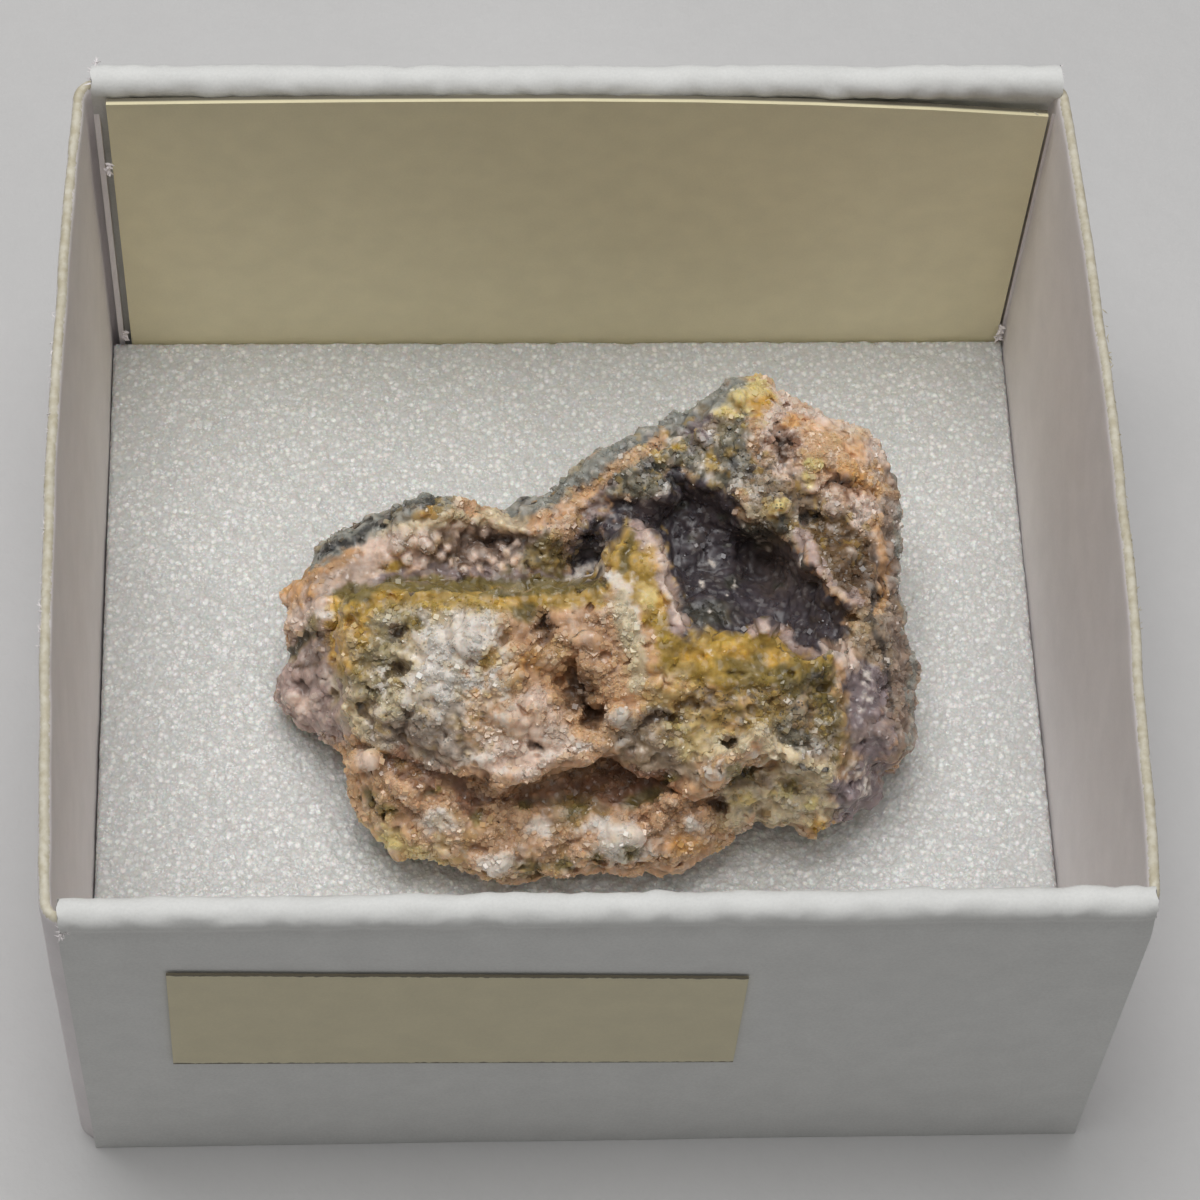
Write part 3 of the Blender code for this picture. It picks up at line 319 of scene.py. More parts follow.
def depth_inside(outline, u, v):
    """Distance inside a closed outline, negative outside it."""
    ring = outline + outline[:1]
    inside = np.zeros(len(u), dtype=bool)
    for (au, av), (bu, bv) in zip(ring, ring[1:]):
        if av != bv:
            crosses = (av > v) != (bv > v)
            inside ^= crosses & (u < au + (v - av) * (bu - au) / (bv - av))
    nearest = line_distance(ring, u, v)
    return np.where(inside, nearest, -nearest)


def wavy(u, v, shift):
    """Places (u, v) pushed about by small waves, so that the edges of forms are uneven."""
    flat = np.column_stack((u, v, np.zeros(len(u))))
    return (u + layered_noise(flat + shift, OUTLINE_WAVES),
            v + layered_noise(flat + (shift + ACROSS_SHIFT), OUTLINE_WAVES))


def relief(u, v):
    """Height of the stone's visible side above the foam at (u, v)."""
    wavy_u, wavy_v = wavy(u, v, RELIEF_SHIFT)
    height = surface_through(GROUND_HEIGHTS)(u, v)
    hollow = depth_inside(HOLLOW_OUTLINE, wavy_u, wavy_v)
    share = smooth_step(-SOFT_OUTLINE, HOLLOW_SOFTNESS, hollow)
    height += share * np.minimum(surface_through(HOLLOW_HEIGHTS)(u, v) - height, 0)
    recess = depth_inside(RECESS_OUTLINE, wavy_u, wavy_v)
    height -= RECESS_DEPTH * smooth_step(-SOFT_OUTLINE, SOFT_OUTLINE, recess)
    mass = depth_inside(MASS_OUTLINE, wavy_u, wavy_v)
    share = smooth_step(-OUTLINE_SOFTNESS, OUTLINE_SOFTNESS, mass)
    height += share * (surface_through(MASS_HEIGHTS)(u, v) - height)
    for line, half_width, rise in RIDGES:
        height += rise * smooth_step(1, 0.2, line_distance(line, wavy_u, wavy_v) / half_width)
    for lump_u, lump_v, radius, rise in LUMPS:
        away = np.hypot(wavy_u - lump_u, wavy_v - lump_v) / radius
        height += rise * np.sqrt(np.clip(1 - away ** 2, 0, 1))
    return height


def pit_depth(u, v):
    """How far the cave and the pits sink into the surface at (u, v)."""
    wavy_u, wavy_v = wavy(u, v, PIT_SHIFT)
    cave = depth_inside(CAVE_OUTLINE, wavy_u, wavy_v)
    total = CAVE_DEPTH * smooth_step(-SOFT_OUTLINE, 2 * SOFT_OUTLINE, cave)
    for pit_u, pit_v, radius_u, radius_v, depth in PITS:
        away = np.hypot((wavy_u - pit_u) / radius_u, (wavy_v - pit_v) / radius_v)
        total = np.maximum(total, depth * smooth_step(1.2, 0.0, away))
    return total


def sight_point(u, v, height):
    """Place in space of a point (u, v) of the sight plane at a height above the foam."""
    lift = SIGHT_RIGHT[2] * u + SIGHT_UP[2] * v
    out = FOAM_TOP + height - SIGHT_CENTRE[2] - lift
    out = out / (SIGHT_OUT[2] - lift / SIGHT_DISTANCE)
    across = np.outer(u, SIGHT_RIGHT) + np.outer(v, SIGHT_UP)
    scale = 1 - out / SIGHT_DISTANCE
    return SIGHT_CENTRE + scale[:, None] * across + np.outer(out, SIGHT_OUT)


def sight_place(points):
    """The (u, v) place on the sight plane of points in space."""
    away = points - SIGHT_CENTRE
    scale = 1 - (away @ SIGHT_OUT) / SIGHT_DISTANCE
    return (away @ SIGHT_RIGHT) / scale, (away @ SIGHT_UP) / scale


def outline_reach(angle):
    """Distance from the stone's middle to its outline at an angle on the sight plane."""
    corners = np.array(STONE_OUTLINE) - STONE_MIDDLE
    angles = np.arctan2(corners[:, 1], corners[:, 0])
    order = np.argsort(angles)
    reach = np.hypot(corners[:, 0], corners[:, 1])[order]
    return np.interp(angle, angles[order], reach, period=2 * math.pi)


def visible_side(angle, share):
    """Points of the side that faces up and forward; share runs from 0 in the middle to 1."""
    reach = outline_reach(angle)
    u = STONE_MIDDLE[0] + share * reach * np.cos(angle)
    v = STONE_MIDDLE[1] + share * reach * np.sin(angle)
    from_rim = np.clip(1 - (1 - share) * reach / RIM_ROUNDING, 0, 1)
    return sight_point(u, v, relief(u, v) - RIM_ROUNDING * (1 - np.sqrt(1 - from_rim ** 2)))


def hidden_side(angle, share):
    """Points of the back and underside; share runs from 0 at the rim to 1 below the middle."""
    rim = visible_side(angle, np.ones(len(angle)))
    base_z = FOAM_TOP + RESTING_GAP
    backward = np.sin(angle)
    middle = sight_point(np.zeros(1), np.zeros(1), np.zeros(1))[0]
    inward = middle[:2] - rim[:, :2]
    inward /= np.linalg.norm(inward, axis=1)[:, None]
    undercut = FRONT_UNDERCUT * (1 - backward) / 2
    batter = BACK_BATTER * (rim[:, 2] - base_z) * np.clip(backward, 0, 1)
    foot = rim[:, :2] + inward * (undercut - batter)[:, None]
    down = np.clip(share / SIDE_SHARE, 0, 1)
    under = np.clip((share - SIDE_SHARE) / (1 - SIDE_SHARE), 0, 1)
    ground = rim[:, :2] + (foot - rim[:, :2]) * (down ** 1.4)[:, None]
    ground += (middle[:2] - foot) * under[:, None]
    z = rim[:, 2] + (base_z - rim[:, 2]) * np.sin(down * math.pi / 2)
    return np.column_stack((ground, z))


def break_off(points, strength):
    """Push points that stand beyond the flat breaks back onto them."""
    for place, direction in BREAKS:
        direction = np.array(direction) / np.linalg.norm(direction)
        beyond = np.clip((points - place) @ direction, 0, None) * strength
        points = points - beyond[:, None] * direction
    return points


def stone_points(directions):
    """Places of the stone's smooth form for directions on a sphere."""
    angle = np.arctan2(directions[:, 1], directions[:, 0])
    tilt = np.arcsin(np.clip(directions[:, 2], -1, 1)) / (math.pi / 2)
    front = tilt >= 0
    points = np.empty((len(directions), 3))
    points[front] = visible_side(angle[front], 1 - tilt[front])
    points[~front] = hidden_side(angle[~front], -tilt[~front])
    return break_off(points, smooth_step(0.0, 0.12, -tilt))


def read_numbers(items, name, width, kind=float):
    """Numbers that the items of a mesh hold, in one row for each item."""
    numbers = np.empty(len(items) * width, dtype=kind)
    items.foreach_get(name, numbers)
    return numbers.reshape(-1, width)


def read_points(mesh):
    """Vertex places of a mesh, in millimetres."""
    return read_numbers(mesh.vertices, "co", 3) / MM


def read_normals(mesh):
    """Vertex normals of a mesh."""
    return read_numbers(mesh.vertices, "normal", 3)


def read_edges(mesh):
    """Vertex pairs of a mesh's edges, each in both directions."""
    edges = read_numbers(mesh.edges, "vertices", 2, int)
    return np.concatenate((edges, edges[:, ::-1]))


def write_points(mesh, points):
    """Move the vertices of a mesh to places in millimetres."""
    mesh.vertices.foreach_set("co", (points * MM).ravel())
    mesh.update()


def relax(points, edges, weight, rounds):
    """Even points out towards their neighbours, each by its own weight."""
    count = np.bincount(edges[:, 0], minlength=len(points))[:, None]
    for _ in range(rounds):
        near = [np.bincount(edges[:, 0], points[edges[:, 1], axis], len(points))
                for axis in range(3)]
        points = points + weight[:, None] * (np.column_stack(near) / count - points)
    return points


def smooth_form(mesh):
    """Even out the broken faces that look back or down. Returns how broken each point is."""
    broken = smooth_step(0.3, 0.0, read_normals(mesh) @ SIGHT_OUT)
    write_points(mesh, relax(read_points(mesh), read_edges(mesh), broken, RELAX_ROUNDS))
    return broken


# The fine surface of the stone: its mesh, waves as (size, height), and rounded grains
FINE_VOXEL = 0.108
FINE_TRIANGLES = 196000
FINE_ROUGHNESS = ((0.34, 0.07), (0.19, 0.035))
CRUMBLE = ((1.5, 0.5), (0.8, 0.28), (0.42, 0.13))
CREASE_LEVEL = 0.25
CRUST_GRAIN = 0.42
CRUST_GRAIN_RISE = 0.068
CRUST_GRAIN_LEVEL = 0.3
SMALL_GRAIN = 0.27
SMALL_GRAIN_RISE = 0.028
ROUND_GRAIN = 0.85
ROUND_GRAIN_RISE = 0.34
ROUND_GRAIN_LEVEL = 0.45
HOLLOW_GRAIN = 1.0
HOLLOW_GRAIN_RISE = 0.3
GRAIN_WIDTH = 0.8
GRAIN_EVENNESS = 0.45
CALM_IN_HOLLOW = 0.7
SMALL_CALM_ON_ROUNDS = 0.7
SMOOTH_SHARE = 0.65
AREA_SOFTNESS = 0.3

# Pits and pores of the crust
PIT_SHARE = 0.85
PIT_UNEVENNESS = 0.6
PIT_LIMITS = (0.3, 1.5)
PORE_SIZE = 0.6
PORE_DEPTH = 0.28

# Thin beds and flat chips of the broken rock
BED_DIRECTION = np.array((-0.35, 0.55, 0.76))
BED_THICKNESS = 0.7
BED_RISE = 0.22
BED_BEND = 0.4
BED_BEND_SIZE = 3
CHIPS = ((1.9, 0.5), (0.8, 0.16))
CHIP_STRETCH = (1, 1, 1.6)

# Where the crust is made of round balls
ROUND_AREAS = (
    ((-8.2, 3.2), (-7.6, 4.4), (-5.5, 4.5), (-3, 4.3), (-1.4, 3.6), (-2.6, 2.8), (-7, 2.4)),
    ((-13.8, -2.2), (-13, -0.8), (-10.4, -1), (-10.6, -4.6), (-13, -3.8)),
    ((-2.8, -2.2), (-1.6, -0.4), (-0.2, -0.6), (0.6, -2), (0.9, -3.4), (0.2, -4.4), (-1, -3.6)),
    RECESS_OUTLINE,
)

# Where the crust is smooth and waxy
SMOOTH_AREAS = (
    ((-10.8, 1.2), (-10.8, 2.6), (0.6, 2.8), (0.3, 1.6), (-5, 1.4)),
    ((0.2, 1.8), (0.9, 4), (2, 4.8), (3.1, 4.2), (4.4, 0), (7.4, 0.6), (9.5, -0.8), (9.9, -2.4),
     (6.4, -2.2), (2.8, -1.6), (1.6, 1.2)),
    ((9.9, -0.4), (11.6, -0.6), (12.9, -4), (12.7, -7.4), (11, -8.3), (10.4, -6), (10.8, -3)),
    ((-13.4, 0.4), (-13.2, 2.4), (-9.2, 5), (-8.4, 3.6), (-11, 1)),
)


# A steady random place and chance for each grain
GRAIN_SEED = 23
JITTER = np.random.default_rng(GRAIN_SEED).random((NOISE_TABLE, 4))

# Small round balls that stand on the crust: middle (u, v) and radius
RIDGE_BALLS = (
    (-8.1, 4.3, 0.35), (-7.3, 4.2, 0.3), (-6.6, 4.0, 0.32), (-6.9, 3.6, 0.3), (-7.7, 3.8, 0.34),
    (-8.4, 3.6, 0.36), (-6.2, 3.6, 0.28), (-5.7, 4.5, 0.33), (-5.2, 4.4, 0.27), (-5.9, 3.0, 0.3),
    (-5.5, 2.7, 0.25), (-4.6, 4.2, 0.26), (-3.9, 3.7, 0.25), (-7.9, 3.1, 0.36), (-5.1, 3.2, 0.3),
    (-4.3, 3.1, 0.3), (-3.7, 3.4, 0.26), (-3.2, 3.8, 0.26), (-7.2, 3.0, 0.32), (-6.5, 3.2, 0.3),
    (-4.8, 2.7, 0.24), (-3.4, 3.0, 0.24),
)
BALLS = RIDGE_BALLS + (
    (-1.6, -7.2, 0.4), (-1.3, -6.3, 0.32), (-0.4, -6.9, 0.3), (0.8, -6.6, 0.35), (1.7, -6.8, 0.3),
    (-2.5, -6.9, 0.3), (2.9, -8.0, 0.42), (3.3, -7.2, 0.46), (4.3, -8.1, 0.4), (-9.7, -5.5, 0.55),
    (8.0, 5.3, 0.55), (7.4, 0.3, 0.4), (11.3, 5.3, 0.45), (6.3, 10.0, 0.45), (-0.4, -2.4, 0.4),
    (0.4, -3.2, 0.35), (-0.9, -3.5, 0.32), (0.1, -1.6, 0.42), (-1.2, -2.0, 0.35), (1.2, -3.6, 0.5),
    (9.9, -8.2, 0.35), (7.2, -4.3, 0.4), (12.4, -4.2, 0.45), (13.2, -4.6, 0.4), (12.7, -5.2, 0.4),
    (12.2, -3.5, 0.35), (-12.4, -1.9, 0.45), (-11.5, -1.6, 0.4), (-12.9, -2.7, 0.5), (-11.9, -2.9, 0.5),
    (-11.0, -2.5, 0.4), (-12.4, -3.6, 0.45), (-11.4, -3.8, 0.45), (-10.7, -3.4, 0.4),
)
BALL_RISE = 0.8
BALL_PINK = 0.7


def grains(places, size):
    """Distance to the nearest grain's middle, in grains, and a random number for each grain."""
    scaled = places / size
    cell = np.floor(scaled).astype(int)
    nearest = np.full(len(places), np.inf)
    chance = np.zeros(len(places))
    for step in itertools.product((-1, 0, 1), repeat=3):
        corner = cell + step
        jitter = JITTER[shuffled(corner)]
        gap = np.linalg.norm(corner + jitter[:, :3] - scaled, axis=1)
        chance = np.where(gap < nearest, jitter[:, 3], chance)
        nearest = np.minimum(gap, nearest)
    return nearest, chance


def grain_bumps(places, size):
    """Rounded bumps, from 0 between grains to 1 on their tops, of uneven height."""
    gap, chance = grains(places, size)
    height = GRAIN_EVENNESS + (1 - GRAIN_EVENNESS) * chance
    return np.sqrt(np.clip(1 - (gap / GRAIN_WIDTH) ** 2, 0, 1)) * height


def chipped(points):
    """Flat chips and thin beds of the broken rock."""
    beds = points @ BED_DIRECTION + BED_BEND * noise(points / BED_BEND_SIZE)
    step = np.abs((beds / BED_THICKNESS) % 2 - 1)
    chips = sum(share * grains(points * CHIP_STRETCH, size)[0] for size, share in CHIPS)
    return BED_RISE * smooth_step(0.2, 0.6, step) - chips


def covered(outlines, u, v, softness):
    """How far each place lies inside any of some outlines, from 0 to 1."""
    share = np.zeros(len(u))
    for outline in outlines:
        inside = depth_inside(outline, u, v)
        share = np.maximum(share, smooth_step(-softness, softness, inside))
    return share


def hollow_share(u, v, start, end, mass_softness):
    """How far each place lies in the purple hollow, clear of the mass in front of it."""
    hollow = smooth_step(start, end, depth_inside(HOLLOW_OUTLINE, u, v))
    mass = depth_inside(MASS_OUTLINE, u, v)
    return hollow * (1 - smooth_step(-mass_softness, mass_softness, mass))


def ragged(coordinate, points, shift):
    """A coordinate pushed about by fine waves, so that the edges of pits are ragged."""
    coarse = coordinate + 0.25 * noise(points / 0.6 + shift)
    return coarse + 0.1 * noise(points / 0.25 + (shift + 10))


def uneven_pits(points, u, v):
    """Depth of the cave and pits with ragged edges, and of a few pores in the crust."""
    uneven = np.clip(1 + PIT_UNEVENNESS * noise(points / 0.5 + 47), *PIT_LIMITS)
    depth = PIT_SHARE * pit_depth(ragged(u, points, 7), ragged(v, points, 27)) * uneven
    pores = smooth_step(0.4, 0.75, noise(points / PORE_SIZE + 57))
    return depth + PORE_DEPTH * pores


def ball_height(balls, u, v):
    """Height of some small balls over the crust."""
    height = np.zeros(len(u))
    for ball_u, ball_v, radius in balls:
        away = np.hypot(u - ball_u, v - ball_v) / radius
        height = np.maximum(height, BALL_RISE * radius * np.clip(1 - away ** 2, 0, 1))
    return height


def billows(points, layers):
    """Rounded swellings with creases between them, about level on the whole."""
    total = np.zeros(len(points))
    for size, rise in layers:
        total += rise * (np.abs(noise(points / size + size * LAYER_SHIFT)) - CREASE_LEVEL)
    return total


def weather(mesh, broken):
    """Roughen the whole surface, sink the pits and cover the crust with grains."""
    points = read_points(mesh)
    crust = layered_noise(points, CRUST_ROUGHNESS)
    rock = layered_noise(points, BREAK_ROUGHNESS) + chipped(points)
    points += read_normals(mesh) * (crust * (1 - broken) + rock * broken)[:, None]
    u, v = sight_place(points)
    hollow = hollow_share(u, v, -0.3, 0.3, 0.2)
    calm = (1 - CALM_IN_HOLLOW * hollow) * (1 - broken)
    lift = ball_height(BALLS, u, v) * (1 - broken) - uneven_pits(points, u, v) * calm
    points += lift[:, None] * SIGHT_OUT
    write_points(mesh, points)
    rounded = covered(ROUND_AREAS, u, v, AREA_SOFTNESS) * (1 - broken)
    calm *= 1 - SMOOTH_SHARE * covered(SMOOTH_AREAS, u, v, AREA_SOFTNESS)
    patchy = smooth_step(-0.5, 0.3, noise(points / 1.7 + 3.1)) * (1 - rounded)
    crust = grain_bumps(points, CRUST_GRAIN) * patchy - CRUST_GRAIN_LEVEL
    small = grain_bumps(points, SMALL_GRAIN) * (1 - SMALL_CALM_ON_ROUNDS * rounded)
    shift = layered_noise(points, FINE_ROUGHNESS)
    shift += calm * (1 - rounded) * billows(points, CRUMBLE)
    shift += ROUND_GRAIN_RISE * rounded * (grain_bumps(points, ROUND_GRAIN) - ROUND_GRAIN_LEVEL)
    shift += CRUST_GRAIN_RISE * calm * crust
    shift += SMALL_GRAIN_RISE * small * calm
    shift += HOLLOW_GRAIN_RISE * hollow * grain_bumps(points, HOLLOW_GRAIN)
    points += read_normals(mesh) * shift[:, None]
    points[:, 2] = np.maximum(points[:, 2], FOAM_TOP + RESTING_GAP)
    write_points(mesh, points)


# Colours as they look on the stone, in 0 to 255 sRGB
COLOURS = {
    "salmon": (176, 137, 104), "pale pink": (200, 175, 158), "lavender": (124, 108, 107),
    "dark purple": (71, 62, 66), "mustard": (164, 131, 56), "olive": (114, 98, 52),
    "ochre": (168, 134, 64), "cream": (186, 168, 136), "white": (224, 210, 196),
    "grey speckle": (112, 104, 86), "host": (128, 125, 116), "dark host": (52, 51, 50),
    "brown": (77, 53, 37), "red brown": (128, 91, 69), "orange": (190, 138, 80),
    "peach": (192, 150, 110), "mauve": (130, 111, 98), "tan": (138, 119, 98),
    "nub pink": (160, 136, 126), "deep lavender": (67, 59, 62), "yellow cream": (208, 184, 122),
    "vug grey": (72, 69, 60), "brown ochre": (110, 82, 48), "gold": (184, 141, 58),
}

# Painted areas of the stone, in painting order: colour, softness, strength, outline in (u, v)
AREAS = (
    ("pale pink", 0.4, 0.9, ((-13.8, 0), (-13, 2), (-11.5, 4), (-9, 5), (-7, 5), (-6.6, 3), (-9, 2.3),
     (-11, 1.6), (-11, 0))),
    ("orange", 0.3, 0.9, ((-13.2, 1.3), (-12.4, 3), (-11.2, 3.8), (-9.6, 3.5), (-10.4, 2.9),
     (-11.5, 2.2), (-12.4, 1.1))),
    ("nub pink", 0.2, 1.0, ((-15.2, -2.2), (-13.4, -0.4), (-11.5, -0.1), (-10.2, -0.3), (-10.3, -4.8),
     (-12, -5.2), (-14.8, -4.4))),
    ("pale pink", 0.3, 0.8, ((-8.5, 4.2), (-6.5, 4.8), (-4, 4.7), (-1.6, 4.3), (-1.8, 3.1), (-4.5, 2.6),
     (-7, 2.6), (-8.6, 3.1))),
    ("cream", 0.25, 0.8, ((-9.5, 4.5), (-7, 5.5), (-4, 5.0), (-2, 4.9), (-2.3, 4.1), (-6, 4.6),
     (-8.6, 4.1))),
    ("brown", 0.3, 0.75, ((-7.2, 3.2), (-6.6, 4.2), (-4.6, 4.4), (-2.4, 4.1), (-2.0, 3.4), (-4, 2.9),
     (-6.4, 2.9))),
    ("lavender", 0.2, 0.9, ((-9.2, 1.9), (0.3, 1.9), (0.4, 2.6), (-1.5, 2.7), (-5, 2.8), (-7.4, 2.7),
     (-9.4, 2.5))),
    ("olive", 0.25, 0.85, ((-4.3, 2.5), (-1.2, 2.5), (-0.9, 3.2), (-1.6, 4.1), (-2.8, 3.3))),
    ("lavender", 0.25, 0.8, ((-1.4, 3.4), (-0.8, 4.7), (0.6, 6.8), (2, 8.1), (2.6, 8), (1.2, 5.8),
     (0.7, 4.8), (0.6, 3.2))),
    ("deep lavender", 0.2, 1.0, ((-1.0, 2.3), (0.4, 2.2), (0.5, 3.4), (0.5, 4.7), (-0.4, 4.6),
     (-0.9, 3.4))),
    ("tan", 0.5, 0.6, ((7.4, 7.6), (9.0, 7.2), (9.4, 6.4), (8, 6.2), (7, 6.6))),
    ("grey speckle", 0.3, 1.0, ((1.2, 7.6), (2.4, 8.5), (4, 9.3), (6.8, 9.1), (7, 6), (5.6, 6), (4, 6.7),
     (3.2, 6.6), (2.4, 5.7), (1.0, 5.7))),
    ("lavender", 0.2, 0.9, ((3.9, 8), (5.4, 8), (5.5, 9.1), (4.3, 9.3))),
    ("yellow cream", 0.25, 0.95, ((4.6, 9.5), (6.6, 11), (7.6, 10.9), (7.8, 9.4), (6.2, 9.1))),
    ("pale pink", 0.3, 0.95, ((7.5, 9.2), (7.9, 10.5), (12.3, 8.6), (13, 6.5), (12.7, 4.4), (11.2, 4.8),
     (9.6, 6), (8.6, 6.8), (7.3, 7.4))),
    ("peach", 0.4, 0.9, ((8.6, 7.2), (9.4, 8.9), (11.6, 8.3), (12.4, 6.8), (11.8, 6), (10, 6.3))),
    ("orange", 0.4, 0.6, ((9.6, 7.2), (10.4, 7.8), (11.8, 7.0), (11.8, 5.9), (10.2, 6.2))),
    ("tan", 0.35, 0.9, ((6.9, 7.2), (8.6, 6.6), (9.6, 5.9), (11.4, 4.8), (12.3, 3), (11.4, 1.4),
     (9.8, 2.8), (8.9, 3.9), (7.8, 4.6), (6.8, 4.9), (6.6, 6))),
    ("brown ochre", 0.4, 0.95, ((9.3, 5.4), (11.4, 5.2), (12.4, 3.6), (12.2, 1.4), (10.8, 2.2),
     (9.6, 3.4))),
    ("dark purple", 0.12, 1.0, HOLLOW_OUTLINE),
    ("dark purple", 0.3, 0.95, ((1.1, 5.3), (1.9, 5.9), (3.1, 6.4), (4.1, 6.3), (4.4, 5.9), (4.2, 4.5),
     (2.9, 4.3), (1.2, 4.7))),
    # Painted shadow of the tongue on the left of the hollow's floor, and a painted patch of light on its
    # right
    ("deep lavender", 0.6, 0.6, ((3.2, 4.8), (5.2, 3.8), (6.4, 1.6), (4.2, 1.2), (3.2, 2.4))),
    ("mauve", 0.7, 0.35, ((6.6, 4.6), (8.4, 3.8), (9.2, 2.2), (7.6, 1.2), (6.6, 2.6))),
    ("mauve", 0.3, 0.9, ((12.3, 8.2), (14.3, 6), (14.3, 3), (15.2, -2), (15.2, -6.3), (12.6, -5.6),
     (12.7, -2), (12.3, 1), (12.3, 4.5))),
    ("tan", 0.3, 0.8, ((11.2, 1.3), (12.9, 1.5), (13, -1.4), (11.6, -1.4), (11.1, -0.4))),
    ("brown", 0.5, 0.6, ((10.6, 3.6), (12.4, 3.4), (12.6, 1.4), (10.8, 1.2))),
    ("cream", 0.5, 0.5, ((6.6, 5.6), (8.4, 5.2), (8.6, 4.2), (7, 3.8))),
    ("orange", 0.4, 0.7, ((10.6, 7.6), (12.3, 7.1), (12.5, 5.6), (11.2, 5.4))),
    ("mauve", 0.5, 0.45, ((-12, 3.4), (-9.4, 3.6), (-9.2, 1.6), (-12, 1.2))),
    ("mauve", 0.4, 0.6, ((-12, 0.4), (-10.6, 0.2), (-10.6, -2.4), (-12.2, -2.2))),
    ("lavender", 0.25, 1.0, ((11.1, -1.2), (12.5, -1.2), (12.8, -4), (12.6, -5.8), (11.2, -6),
     (10.8, -4), (10.8, -2.2))),
    ("lavender", 0.25, 1.0, ((10.1, -6.4), (12.4, -5.8), (14, -6.2), (12.8, -9.2), (10.3, -8.4))),
    ("peach", 0.2, 0.9, MASS_OUTLINE),
    ("red brown", 0.2, 0.95, ((7.7, 8.7), (8.3, 8.5), (9.0, 7.3), (8.3, 7.3), (7.8, 7.6))),
    ("red brown", 0.2, 0.9, ((9.8, 6.7), (10.6, 6.8), (11.7, 6.1), (11.8, 5.4), (11.1, 5.7),
     (10.4, 6.2))),
    ("cream", 0.4, 0.95, ((-10.7, 1.3), (-3.6, 1.6), (-3.4, -2), (-4.6, -5.6), (-7, -5.8), (-9.4, -5.2),
     (-10.9, -4))),
    ("white", 0.5, 0.95, ((-7.2, 0.8), (-4.3, 1.0), (-3.8, -1.6), (-5.6, -3.6), (-8, -3.2), (-7.8, -1))),
    ("gold", 0.3, 0.9, ((-11.2, 1.5), (-9.4, 1.4), (-9.4, -0.6), (-10.3, -1.9), (-11.2, -1.5))),
    ("olive", 0.6, 0.6, ((-10.6, -1.4), (-8.4, 0.9), (-7.8, -1.8), (-9, -2.9), (-10.6, -2.6))),
    ("mauve", 0.5, 0.85, ((-9.6, -3.5), (-6, -3.4), (-4.8, -3.8), (-4.6, -5.8), (-7.5, -5.6),
     (-9.4, -4.9))),
    ("pale pink", 0.4, 0.8, ((-4.8, -2.4), (-2, -2.4), (-1.6, -3.2), (-0.6, -4.6), (-1.2, -5.8),
     (-4.5, -6.8), (-5, -5))),
    ("peach", 0.5, 0.7, ((-5.6, -2.6), (-3.4, -2.4), (-3.2, -4.4), (-5.4, -4.6))),
    ("salmon", 0.35, 0.95, ((-3.6, 1.5), (1.1, 1.7), (1.2, -1.5), (0.7, -3), (-0.4, -1.2), (-1.6, -1.1),
     (-2.4, -2.4), (-4.4, -2.2), (-3.9, 0))),
    ("ochre", 0.2, 1.0, ((0, 2.1), (0.9, 3.8), (1.9, 4.7), (2.9, 4.2), (3.4, 2.3), (4.1, 0.5), (3, -0.6),
     (2.1, 0.6), (1.4, 1.9))),
    ("mustard", 0.25, 1.0, ((2.4, 0.4), (4.2, 0.1), (6.1, -0.2), (7.5, 0.4), (8.4, -0.4), (9.5, -1.0),
     (10.6, -1.3), (10.2, -2.6), (8.6, -2.7), (6.5, -2.5), (4.6, -2.2), (3, -1.9))),
    ("olive", 0.5, 0.7, ((5.8, -0.9), (8.4, -0.6), (9.2, -1.6), (8.2, -2.8), (6, -2.4))),
    ("olive", 0.5, 0.9, ((8, -1.5), (10.5, -1.4), (10.8, -3.6), (10.9, -5.6), (9.9, -5.6), (9.4, -3.6),
     (8.4, -2.8))),
    ("grey speckle", 0.4, 0.95, ((5.2, -2.7), (8.6, -2.9), (9.6, -4), (9.9, -5.5), (8.2, -5.1), (7, -4),
     (5.4, -3.6))),
    ("tan", 0.5, 0.9, ((1.4, -3.4), (5, -2.4), (5.4, -4.5), (4.9, -6.4), (2, -6), (0.4, -5.2))),
    ("ochre", 0.6, 0.6, ((2.6, -1.9), (7.6, -2.4), (8.6, -3.4), (6.8, -4.2), (3.4, -4.4), (2.4, -3.2))),
    ("yellow cream", 0.5, 0.5, ((2.8, -3.6), (5.4, -3.4), (6.2, -4.8), (4.2, -5.4))),
    ("cream", 0.3, 0.9, ((5.8, -6.0), (8, -5.5), (10.2, -6.3), (10.2, -8), (9, -8.4), (7.2, -8.2),
     (6, -8.6), (5.6, -7.2))),
    ("red brown", 0.25, 0.9, RECESS_OUTLINE),
    ("salmon", 0.3, 0.95, ((-11, -6), (-8.5, -6.6), (-5, -7.7), (0, -7.8), (4, -7.3), (6, -8),
     (4, -10.6), (-3, -11), (-8, -9.8), (-10.4, -7.9))),
    ("peach", 0.3, 0.8, ((-11, -4.6), (-9.2, -5), (-8.8, -6.2), (-10.4, -7.2))),
    ("olive", 0.4, 0.5, ((-2.4, -6.9), (0, -6.9), (0.4, -8.3), (-2, -8.3))),
    ("yellow cream", 0.4, 0.6, ((-9.8, -8.0), (-7.6, -9.8), (-5.6, -10.3), (-7, -8.9), (-8.6, -8.2))),
)

